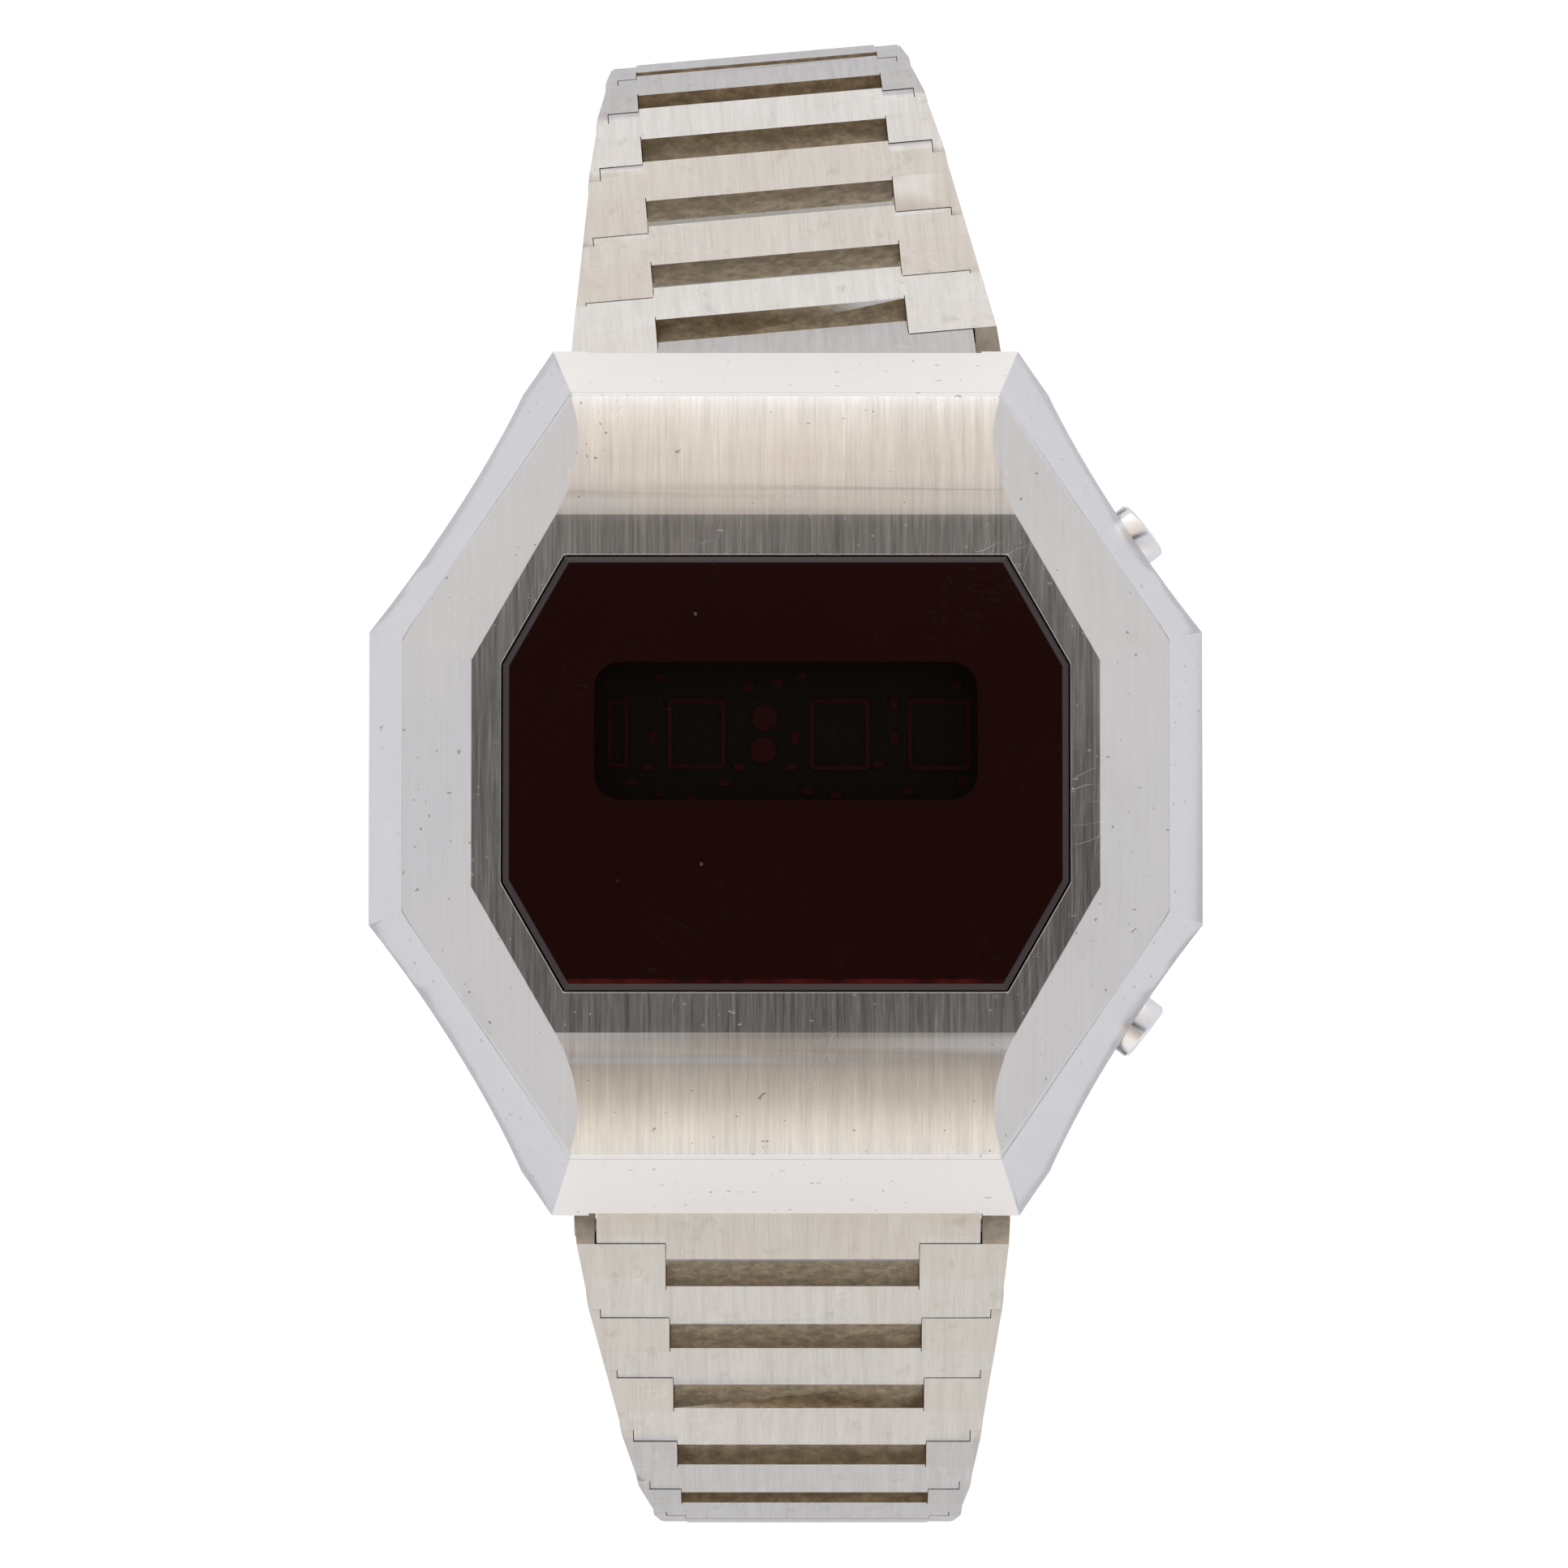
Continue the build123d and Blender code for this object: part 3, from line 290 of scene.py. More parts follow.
class Paint:
    """Builds the node tree of a material or of the world."""

    def __init__(self, owner):
        owner.use_nodes = True
        self.owner = owner
        self.tree = owner.node_tree
        self.tree.nodes.clear()

    def node(self, kind, settings=None, values=None, output=0):
        made = self.tree.nodes.new(kind)
        for key, value in (settings or {}).items():
            if key == "stops":
                for index, (place, colour) in enumerate(value):
                    ramp = made.color_ramp.elements
                    stop = ramp[index] if index < 2 else ramp.new(place)
                    stop.position = place
                    stop.color = colour
            else:
                setattr(made, key, value)
        for key, value in (values or {}).items():
            if isinstance(value, Wire):
                self.tree.links.new(value.socket, made.inputs[key])
            elif value is not None:
                made.inputs[key].default_value = value
        return Wire(self, made.outputs[output]) if made.outputs else None

    def millimetres(self):
        """The place on the object at rest, in millimetres."""
        place = self.node("ShaderNodeTexCoord", output="Object")
        return self.vector("SCALE", place, scale=MM)

    def vector(self, operation, first, second=None, scale=None, output=0):
        return self.node("ShaderNodeVectorMath", {"operation": operation},
                         {0: first, 1: second, "Scale": scale}, output)

    def parts(self, vector):
        x = self.node("ShaderNodeSeparateXYZ", None, {"Vector": vector}, "X")
        return x, x.out("Y"), x.out("Z")

    def turned(self, vector, angles):
        return self.node("ShaderNodeMapping", {"vector_type": "POINT"},
                         {"Vector": vector, "Rotation": tuple(radians(angle) for angle in angles)})

    def noise(self, vector, stretch=(1, 1, 1), detail=2, roughness=0.5):
        stretched = self.vector("MULTIPLY", vector, stretch)
        return self.node("ShaderNodeTexNoise", {"noise_dimensions": "3D"},
                         {"Vector": stretched, "Scale": 1, "Detail": detail, "Roughness": roughness})

    def specks(self, vector, per_mm, size):
        """Small round marks: 1 in their middles, 0 outside."""
        distance = self.node("ShaderNodeTexVoronoi", {"feature": "F1"}, {"Vector": vector, "Scale": per_mm})
        return 1 - distance.step(size * 0.5, size)

    def mix(self, share, first, second):
        """Share is a number or a wire; the two colours are colours or wires."""
        first, second = (tuple(c) + (1,) if not isinstance(c, Wire) and len(c) == 3 else c
                         for c in (first, second))
        return self.node("ShaderNodeMix", {"data_type": "RGBA"}, {0: share, 6: first, 7: second}, 2)

    def hairlines(self, vector, stretch, width, share, angles=(0, 0, 0)):
        """Thin wandering scratches that come and go."""
        along = self.turned(vector, angles)
        line = 1 - abs(self.noise(along, stretch, detail=1) - 0.5).step(0, width)
        cover = self.noise(vector, (0.21, 0.19, 0.23), detail=1).step(1 - share, 1.15 - share)
        return line * cover

    def bump(self, height, distance, over=None):
        return self.node("ShaderNodeBump", None,
                         {"Height": height, "Distance": distance, "Strength": 1.0, "Normal": over})

    def finish(self, **values):
        """The shader and the output. Names use _ for the spaces in the sockets' names."""
        sockets = {key.replace("_", " "): value for key, value in values.items()}
        for key, value in sockets.items():
            if key.endswith("Color") and not isinstance(value, Wire):
                sockets[key] = tuple(value) + (1,)
        shader = self.node("ShaderNodeBsdfPrincipled", None, sockets)
        self.node("ShaderNodeOutputMaterial", None, {"Surface": shader})
        return self.owner


def new_paint(name):
    return Paint(bpy.data.materials.new(name))


# Finishes


def scaled(colour, share):
    """A colour made darker or lighter."""
    return tuple(channel * share for channel in colour)


def facing(paint):
    """The surface's direction on the object at rest."""
    return paint.node("ShaderNodeTexCoord", output="Normal")


def knocks_of(paint, place):
    """Sparse little dents of uneven shape."""
    return paint.noise(place, (2.3, 2.9, 2.6), detail=1, roughness=0.7).step(0.745, 0.765)


def ends_and_knocks(paint, steel, tone, end, stain, knocks):
    """The tone with the blasted end faces and with dirt in the knocks."""
    ends = paint.mix(stain * 0.08, steel.ends, (0.8, 0.77, 0.72))
    return paint.mix(knocks * 0.6, paint.mix(end, tone, ends), steel.dirt)


def crown_wear(paint, place, wear, bevel):
    """The cover is worn softer where its flat meets its curves: heights in millimetres."""
    low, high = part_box("top_cover")
    y = paint.parts(place)[1]
    from_middle = abs(y - (low.y + high.y) / 2 * MM)
    ease = ((from_middle - wear.flat_end * MM) / (wear.fall_reach * MM)).most(0).least(1)
    curve = (from_middle - wear.curve_start * MM).most(0).least(wear.curve_reach * MM)
    return (curve * curve * wear.lift - ease * ease * ease * wear.fall) * (1 - bevel)


def brushed_cover_finish(steel, wear):
    """Long twelve-to-six grain on the crown, calmer on the bevels, with hairlines and small knocks."""
    paint = new_paint("brushed_cover")
    place = paint.millimetres()
    x, y = paint.parts(facing(paint))[:2]
    bevel = abs(x).step(0.2, 0.4)
    end = abs(y).step(0.6, 0.8)
    fine = paint.noise(place, (9, 0.3, 0.35), detail=4, roughness=0.75)
    broad = paint.noise(place, (2.6, 0.09, 0.11), detail=3, roughness=0.6)
    dapple = paint.noise(place, (1.1, 0.5, 0.6), detail=4, roughness=0.7)
    cloud = paint.noise(place, (0.16, 0.12, 0.12), detail=3)
    stain = paint.noise(place, (0.31, 0.27, 0.3), detail=4, roughness=0.65).step(0.52, 0.72)
    streaks = (fine * 0.6 + broad * 0.4) * (1 - bevel * 0.8) + bevel * 0.4
    long_marks = paint.hairlines(place, (0.9, 0.16, 0.3), 0.007, 0.5, (0, 0, 17))
    cross_marks = paint.hairlines(place, (0.22, 1.1, 0.3), 0.006, 0.46, (0, 0, -24))
    marks = long_marks.most(cross_marks)
    knocks = knocks_of(paint, place)
    tone = paint.mix((streaks - 0.3) * 2.6, scaled(steel.cover, 0.70), scaled(steel.cover, 1.08))
    tone = paint.mix(dapple.step(0.35, 0.7) * (0.3 - bevel * 0.22), tone, scaled(steel.cover, 0.82))
    tone = paint.mix(cloud.step(0.35, 0.75) * 0.2, tone, (0.90, 0.85, 0.77))
    tone = paint.mix(stain * 0.12, tone, (0.55, 0.48, 0.40))
    tone = paint.mix(marks * 0.22, tone, (0.93, 0.93, 0.94))
    tone = ends_and_knocks(paint, steel, tone, end, stain, knocks)
    height = streaks - marks * 0.6 - knocks * 3
    softened = paint.bump(crown_wear(paint, place, wear, bevel), 1 / MM)
    return paint.finish(Base_Color=tone, Metallic=1 - end * 0.8,
                        Roughness=0.08 + streaks * 0.24 + end * 0.35,
                        Normal=paint.bump(height, steel.grain, softened))


def satin_case_finish(steel):
    """Even satin steel with a faint grain round the sides and a few scratches."""
    paint = new_paint("satin_case")
    place = paint.millimetres()
    end = abs(paint.parts(facing(paint))[1]).step(0.8, 0.9)
    fine = paint.noise(place, (3, 3, 14), detail=3, roughness=0.6)
    cloud = paint.noise(place, (0.2, 0.2, 0.2), detail=3)
    stain = paint.noise(place, (0.5, 0.45, 0.5), detail=4, roughness=0.7).step(0.5, 0.75)
    marks = paint.hairlines(place, (0.7, 0.25, 0.4), 0.007, 0.5, (0, 20, 35)).most(
        paint.hairlines(place, (0.25, 0.9, 0.3), 0.006, 0.45, (0, 0, 60)))
    knocks = knocks_of(paint, place)
    blasted = paint.noise(place, (5, 5, 5), detail=3, roughness=0.7)
    tone = paint.mix(fine, scaled(steel.case, 0.9), scaled(steel.case, 1.04))
    tone = paint.mix(cloud.step(0.4, 0.8) * 0.16, tone, (0.70, 0.68, 0.67))
    tone = paint.mix(stain * 0.1, tone, (0.55, 0.52, 0.50))
    tone = paint.mix(marks * 0.3, tone, (0.92, 0.92, 0.93))
    tone = ends_and_knocks(paint, steel, tone, end, stain, knocks)
    height = fine * 0.6 * (1 - end) + blasted * end * 2 - marks * 0.7 - knocks * 3
    return paint.finish(Base_Color=tone, Metallic=1 - end * 0.8,
                        Roughness=0.24 + fine * 0.1 + marks * 0.1 + end * 0.28,
                        Normal=paint.bump(height, steel.grain))


def link_finish(steel, zones, name, hinge, across, along):
    """One link's steel: grain along it, warmer side pieces, and slot walls with dirt and painted shade."""
    paint = new_paint("steel_" + name)
    up = across.cross(along)
    from_hinge = paint.vector("SUBTRACT", paint.millimetres(), tuple(hinge * MM))
    u, v, w = (paint.vector("DOT_PRODUCT", from_hinge, tuple(way), output="Value")
               for way in (across, along, up))
    place = paint.node("ShaderNodeCombineXYZ", None, {"X": u, "Y": v, "Z": w})
    # Each link has its own piece of the pattern, seven times as far on as its hinge
    pattern = paint.vector("ADD", place, tuple(hinge * 7 * MM))
    out = facing(paint)
    # Walls facing along the link, and side walls inside the slot, get dirt and painted shade
    end_wall = abs(paint.vector("DOT_PRODUCT", out, tuple(along), output="Value")).step(0.6, 0.8)
    side_wall = abs(paint.vector("DOT_PRODUCT", out, tuple(across), output="Value")).step(0.6, 0.8)
    inside = 1 - abs(u).step(zones.wall_to * MM, (zones.wall_to + zones.wall_blend) * MM)
    wall = end_wall.most(side_wall * inside)
    cheek = abs(u).step(zones.cheek_from * MM, (zones.cheek_from + zones.cheek_blend) * MM)
    cheek = cheek * (1 - v.step(zones.cheek_to * MM, (zones.cheek_to + zones.end_blend) * MM))
    fine = paint.noise(pattern, (13, 0.5, 0.5), detail=4, roughness=0.7)
    broad = paint.noise(pattern, (2.3, 0.2, 0.4), detail=3)
    cloud = paint.noise(pattern, (0.3, 0.3, 0.3), detail=2)
    mottle = paint.noise(pattern, (1.6, 2.2, 2.2), detail=4, roughness=0.7)
    spread = paint.noise(pattern, (1.3, 0.7, 0.7), detail=4, roughness=0.75).step(0.38, 0.66)
    streaks = fine * 0.6 + broad * 0.4
    marks = paint.hairlines(pattern, (0.3, 1.3, 1.1), 0.008, 0.5, (0, 0, 12)).most(
        paint.hairlines(pattern, (1.2, 0.3, 0.3), 0.007, 0.5, (0, 0, -31)))
    grime = paint.noise(pattern, (0.9, 0.9, 0.9), detail=3, roughness=0.7).step(0.56, 0.74)
    steel_tone = paint.mix(cheek, steel.link, steel.cheek)
    tone = paint.mix(2.1 - streaks * 3.7, steel_tone, (0.515, 0.50, 0.475))
    tone = paint.mix(cloud.step(0.4, 0.8) * 0.2, tone, (0.565, 0.53, 0.48))
    tone = paint.mix(spread * 0.35, tone, (0.60, 0.585, 0.56))
    tone = paint.mix(marks * 0.2, tone, (0.93, 0.92, 0.91))
    tone = paint.mix(grime * 0.16, tone, steel.dirt)
    # Dirt with painted shade: the walls go darker and browner than the rest of the link
    wall_dirt_and_shade = paint.mix(mottle.step(0.3, 0.75), scaled(steel.slot, 0.7), scaled(steel.slot, 1.35))
    tone = paint.mix(wall, tone, wall_dirt_and_shade)
    height = streaks - marks * 0.6
    return paint.finish(Base_Color=tone, Metallic=1.0,
                        Roughness=0.27 + streaks * 0.12 + grime * 0.08 + wall * 0.2,
                        Normal=paint.bump(height, steel.grain))


def clasp_finish(steel):
    """Pressed sheet with a lengthwise grain and rubbing marks."""
    paint = new_paint("clasp_sheet")
    place = paint.millimetres()
    fine = paint.noise(place, (15, 0.5, 0.5), detail=3, roughness=0.65)
    rubs = paint.hairlines(place, (0.4, 1.4, 0.5), 0.012, 0.62, (0, 0, 20)).most(
        paint.hairlines(place, (1.4, 0.4, 0.5), 0.012, 0.62, (0, 0, -40)))
    cloud = paint.noise(place, (0.25, 0.25, 0.25), detail=2)
    tone = paint.mix(fine, scaled(steel.clasp, 0.85), steel.clasp)
    tone = paint.mix(cloud.step(0.45, 0.75) * 0.25, tone, (0.62, 0.59, 0.54))
    tone = paint.mix(rubs * 0.4, tone, (0.92, 0.92, 0.92))
    return paint.finish(Base_Color=tone, Metallic=1.0, Roughness=0.28 + fine * 0.14,
                        Normal=paint.bump(fine - rubs * 0.7, steel.grain))


def back_finish(steel):
    """Rings of turned grain round the middle of the case back."""
    paint = new_paint("turned_back")
    place = paint.millimetres()
    low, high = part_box("case_back")
    middle = (low + high) / 2 * MM
    flat = paint.vector("MULTIPLY", paint.vector("SUBTRACT", place, tuple(middle)), (1, 1, 0))
    radius = paint.vector("LENGTH", flat, output="Value")
    ring_place = paint.node("ShaderNodeCombineXYZ", None, {"X": radius * 14})
    rings = paint.noise(ring_place, detail=3, roughness=0.7)
    cloud = paint.noise(place, (0.3, 0.3, 0.3), detail=3)
    rubs = paint.hairlines(place, (0.5, 1.5, 0.5), 0.01, 0.6, (0, 0, 33))
    tone = paint.mix(rings, scaled(steel.back, 0.8), steel.back)
    tone = paint.mix(cloud.step(0.5, 0.75) * 0.3, tone, (0.50, 0.47, 0.42))
    tone = paint.mix(rubs * 0.4, tone, (0.88, 0.88, 0.88))
    return paint.finish(Base_Color=tone, Metallic=1.0, Roughness=0.26 + rings * 0.16,
                        Normal=paint.bump(rings - rubs * 0.6, steel.grain * 1.5))


def chrome_finish(steel):
    """Polished button caps with turning marks and patches of haze."""
    paint = new_paint("button_chrome")
    place = paint.millimetres()
    turning = paint.noise(place, (2.5, 2.5, 9), detail=2)
    haze = paint.noise(place, (0.9, 0.9, 0.9), detail=3)
    tone = paint.mix(haze.step(0.45, 0.75) * 0.3, steel.chrome, (0.70, 0.68, 0.65))
    return paint.finish(Base_Color=tone, Metallic=1.0, Roughness=0.1 + haze * 0.14 + turning * 0.05,
                        Normal=paint.bump(turning, steel.grain * 0.5))


def pin_finish(steel):
    """Drawn wire steel."""
    paint = new_paint("drawn_pins")
    place = paint.millimetres()
    drawn = paint.noise(place, (0.5, 12, 12), detail=2)
    tone = paint.mix(drawn, (0.52, 0.52, 0.53), (0.70, 0.70, 0.71))
    return paint.finish(Base_Color=tone, Metallic=1.0, Roughness=0.26 + drawn * 0.14,
                        Normal=paint.bump(drawn, steel.grain))


def red_line(paint, place, look):
    """A broken line inside the lens's lower edge: 1 along its middle."""
    x, y = paint.parts(place)[:2]
    height = (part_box("lens")[0].y + look.line_rise) * MM
    line = 1 - abs(y - height).step(look.line_core * MM, look.line_half * MM)
    ends = 1 - abs(x).step(look.line_reach * MM, (look.line_reach + look.line_fade) * MM)
    return line * ends * paint.noise(place, (0.5, 0.5, 0.5), detail=3).step(0.3, 0.7)


def print_round_window(paint, place, sizes):
    """1 on the lens's print, which leaves only the display window clear."""
    x, y = paint.parts(place)[:2]
    low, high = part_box("lens")
    corner = sizes.corner * MM
    window_y = ((low.y + high.y) / 2 + sizes.rise) * MM
    beyond_x = (abs(x) - (sizes.half_width * MM - corner)).most(0)
    beyond_y = (abs(y - window_y) - (sizes.half_height * MM - corner)).most(0)
    return ((beyond_x * beyond_x + beyond_y * beyond_y) ** 0.5 - corner).step(-0.1, 0.02)


def lens_finish(look, sizes):
    """Dark polished lens, printed round its window, with a red line low down, wipe marks and chips."""
    paint = new_paint("dark_lens")
    place = paint.millimetres()
    line = red_line(paint, place, look)
    wipes = paint.hairlines(place, (0.5, 1.6, 0.5), 0.004, 0.5, (0, 0, 22)).most(
        paint.hairlines(place, (1.7, 0.4, 0.5), 0.004, 0.5, (0, 0, -13)))
    chips = paint.specks(place, 0.35, 0.035)
    smear = paint.noise(place, (0.2, 0.16, 0.2), detail=3)
    border = print_round_window(paint, place, sizes)
    tone = paint.mix(border, look.glass, look.border)
    tone = paint.mix(line * 0.8, tone, look.rim)
    tone = paint.mix(chips * 0.3 + wipes * 0.015, tone, (0.30, 0.22, 0.20))
    cover = (line * 0.15 + chips * 0.2 + border * (1 - look.cover) + look.cover).least(1.0)
    return paint.finish(Base_Color=tone, Roughness=0.04 + smear * 0.05 + wipes * 0.06, Alpha=cover,
                        IOR=1.5, Normal=paint.bump(0 - wipes * 0.25 - chips * 4, 0.000001))


def plain_finish(name, colour, low, high, grain=(3, 3, 3), metal=0.0, depth=0.000004, mark=0.0):
    """A moulded, plated or printed surface with uneven tone and a light texture."""
    paint = new_paint(name)
    place = paint.millimetres()
    tooth = paint.noise(place, grain, detail=3, roughness=0.6)
    cloud = paint.noise(place, (0.5, 0.5, 0.5), detail=2)
    tone = paint.mix(tooth * 0.5 + cloud * 0.5, scaled(colour, 0.72), colour)
    if mark:
        tone = paint.mix(paint.specks(place, 0.8, 0.12) * mark, tone, (0.5, 0.48, 0.44))
    return paint.finish(Base_Color=tone, Metallic=metal, Roughness=low + tooth * (high - low),
                        Normal=paint.bump(tooth, depth))


# Meshes


def dress(name, material, edge=0.0):
    """Gives a solid from the frame its finish and, where it shows, softened edges."""
    solid = NODES[name]
    for place in solid.material_slots:
        place.material = material
    if edge:
        weld = solid.modifiers.new("Joined edges", "WELD")
        weld.merge_threshold = WELD_REACH
        bevel = solid.modifiers.new("Softened edges", "BEVEL")
        bevel.width = edge
        bevel.segments = 2
        bevel.limit_method = "ANGLE"
        bevel.angle_limit = EDGE_ANGLE
        bevel.harden_normals = True
        bevel.use_clamp_overlap = True
    return solid


def new_piece(name, mesh_builder, material, body, smooth=True):
    """Makes an object of a bmesh and ties it to its body."""
    data = bpy.data.meshes.new(name)
    bmesh.ops.recalc_face_normals(mesh_builder, faces=mesh_builder.faces)
    mesh_builder.to_mesh(data)
    mesh_builder.free()
    for face in data.polygons:
        face.use_smooth = smooth
    piece = bpy.data.objects.new(name, data)
    bpy.context.scene.collection.objects.link(piece)
    data.materials.append(material)
    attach(piece, body)
    return piece


def sweep(points, radius, sides=8):
    """A round wire along points, closed at both ends."""
    mesh = bmesh.new()
    rings = []
    for index, point in enumerate(points):
        ahead = points[min(index + 1, len(points) - 1)]
        behind = points[max(index - 1, 0)]
        turn = (ahead - behind).to_track_quat("Z", "Y").to_matrix()
        ring = []
        for side in range(sides):
            angle = 2 * pi * side / sides
            ring.append(mesh.verts.new(point + turn @ Vector((radius * cos(angle), radius * sin(angle), 0))))
        rings.append(ring)
    for near, far in zip(rings, rings[1:]):
        for side in range(sides):
            follow = (side + 1) % sides
            mesh.faces.new((near[side], near[follow], far[follow], far[side]))
    mesh.faces.new(list(reversed(rings[0])))
    mesh.faces.new(rings[-1])
    return mesh


def rounded(middle, half_x, half_y, corner, turns=6):
    """Points round a rectangle with round corners."""
    points = []
    for side_x, side_y, start in ((1, 1, 0), (-1, 1, 90), (-1, -1, 180), (1, -1, 270)):
        for step in range(turns + 1):
            angle = radians(start + 90 * step / turns)
            points.append((middle[0] + side_x * (half_x - corner) + corner * cos(angle),
                           middle[1] + side_y * (half_y - corner) + corner * sin(angle)))
    return points


def add_slab(mesh, outline, low, high, opening=None):
    """A flat plate between two heights, with an opening that has as many points as its outline."""
    rings = [[mesh.verts.new((x, y, z)) for x, y in loop]
             for loop in ((outline, opening) if opening else (outline,)) for z in (low, high)]
    pairs = [(rings[0], rings[1])]
    if opening:
        pairs += [(rings[3], rings[2]), (rings[1], rings[3]), (rings[2], rings[0])]
    else:
        mesh.faces.new(list(reversed(rings[0])))
        mesh.faces.new(rings[1])
    for first, second in pairs:
        for index in range(len(first)):
            follow = (index + 1) % len(first)
            mesh.faces.new((first[index], first[follow], second[follow], second[index]))


def window_place(sizes):
    """The middle of the display window."""
    low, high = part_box("lens")
    return (low.x + high.x) / 2, (low.y + high.y) / 2 + sizes.rise


def mask_mesh(sizes):
    """The plate with the window in it."""
    low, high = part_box("display_mask")
    mesh = bmesh.new()
    outline = rounded(((low.x + high.x) / 2, (low.y + high.y) / 2), (high.x - low.x) / 2,
                      sizes.mask_half_height, sizes.mask_corner)
    window = rounded(window_place(sizes), sizes.half_width, sizes.half_height, sizes.corner)
    add_slab(mesh, outline, low.z, high.z, window)
    return mesh


def board_mesh(sizes):
    """The board under the window."""
    low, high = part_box("display_board")
    mesh = bmesh.new()
    outline = rounded(window_place(sizes), (high.x - low.x) / 2, (high.y - low.y) / 2, sizes.corner)
    add_slab(mesh, outline, low.z, high.z)
    return mesh


def on_board(sizes, place):
    """A place in millimetres from the window's middle, in the frame's metres."""
    middle = window_place(sizes)
    return middle[0] + place[0] / MM, middle[1] + place[1] / MM


def digits_mesh(sizes):
    """The outlines of the unlit digits, and the pads between them."""
    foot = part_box("display_mask")[0].z
    top = foot + sizes.height
    mesh = bmesh.new()
    for left, right, bottom, upper in DIGITS:
        centre = on_board(sizes, ((left + right) / 2, (bottom + upper) / 2))
        half_x = (right - left) / 2 / MM
        half_y = (upper - bottom) / 2 / MM
        opening = rounded(centre, half_x - sizes.stroke, half_y - sizes.stroke, sizes.stroke / 2)
        add_slab(mesh, rounded(centre, half_x, half_y, sizes.stroke), foot, top, opening)
    for places, shape in ((PADS, PAD_SHAPE), (UPRIGHT_PADS, UPRIGHT_PAD_SHAPE)):
        half_x, half_y = (sizes.pad * share for share in shape)
        for place in places:
            outline = rounded(on_board(sizes, place), half_x, half_y, sizes.pad * sizes.pad_corner)
            add_slab(mesh, outline, foot, top)
    return mesh


def dots_mesh(sizes):
    """The two dots between the hours and the minutes."""
    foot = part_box("display_mask")[0].z
    mesh = bmesh.new()
    for place in DOTS:
        outline = rounded(on_board(sizes, place), sizes.dot, sizes.dot, sizes.dot)
        add_slab(mesh, outline, foot, foot + sizes.height)
    return mesh


def coil_points(sizes, middle, outward, coil_r, rise):
    """Points along a coil whose end turns lie flat, as ground ends do."""
    turn = outward.to_track_quat("Z", "Y").to_matrix()
    points = []
    count = int(sizes.turns * sizes.steps)
    for index in range(count + 1):
        share = index / count
        climb = min(max((share - sizes.flat) / (1 - 2 * sizes.flat), 0), 1)
        angle = 2 * pi * sizes.turns * share
        place = Vector((coil_r * cos(angle), coil_r * sin(angle), -rise + 2 * rise * climb))
        points.append(middle + turn @ place)
    return points


# Operators


class WATCH_OT_case(bpy.types.Operator):
    """Finish the top cover, the middle case and the case back"""
    bl_idname = "watch.case"
    bl_label = "Case"

    def execute(self, context):
        steel = context.scene.watch_steel
        dress("top_cover", brushed_cover_finish(steel, context.scene.watch_crown), steel.edge)
        dress("mid_case", satin_case_finish(steel), steel.edge)
        dress("case_back", back_finish(steel), steel.edge)
        return {"FINISHED"}


class WATCH_OT_lens(bpy.types.Operator):
    """Finish the lens, the mask, the display board and the digits"""
    bl_idname = "watch.lens"
    bl_label = "Lens and display"

    def execute(self, context):
        look = context.scene.watch_lens
        sizes = context.scene.watch_display
        dress("lens", lens_finish(look, sizes), look.edge)
        mask_paint = plain_finish("display_mask_paint", look.mask, 0.5, 0.7)
        lacquer = plain_finish("display_board_lacquer", look.board, 0.3, 0.5, mark=0.1)
        segments = plain_finish("digit_segments", look.segment, 0.25, 0.45)
        for name, mesh, material, slot, node in (
                ("window_mask", mask_mesh(sizes), mask_paint, "mask_black", "display_mask"),
                ("display_plate", board_mesh(sizes), lacquer, "display_green", "display_board"),
                ("digit_outlines", digits_mesh(sizes), segments, "led_red", "led_digits"),
                ("colon_dots", dots_mesh(sizes), segments, "led_red", "colon_leds")):
            piece = new_piece(name, mesh, material, "head", smooth=False)
            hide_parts(node)
        return {"FINISHED"}


class WATCH_OT_module(bpy.types.Operator):
    """Finish the parts inside the case"""
    bl_idname = "watch.module"
    bl_label = "Module"

    def execute(self, context):
        inside = context.scene.watch_module
        steel = context.scene.watch_steel
        rubber = plain_finish("gasket_rubber", inside.rubber, 0.6, 0.85)
        brass = plain_finish("contact_brass", inside.brass, 0.2, 0.4, metal=1.0)
        cell = plain_finish("cell_steel", inside.cell, 0.15, 0.35, metal=1.0)
        pins = pin_finish(steel)
        looks = {
            "circuit_board": plain_finish("board_lacquer", inside.board, 0.3, 0.5, mark=0.3),
            "logic_chip": plain_finish("chip_moulding", inside.chip, 0.5, 0.7, (8, 8, 8)),
            "quartz_crystal": plain_finish("crystal_can", inside.can, 0.2, 0.35, metal=1.0),
            "trimmer_capacitor": brass, "switch_contacts": brass, "cell_contact": brass,
            "module_frame": plain_finish("frame_moulding", inside.plastic, 0.45, 0.65, (6, 6, 6)),
            "module_screws": pins, "spring_bars": pins, "pusher_tubes": pins,
            "button_cell_left": cell, "button_cell_right": cell,
            "lens_gasket": rubber, "case_back_gasket": rubber, "pusher_seals": rubber,
        }
        for name, material in looks.items():
            dress(name, material)
        return {"FINISHED"}


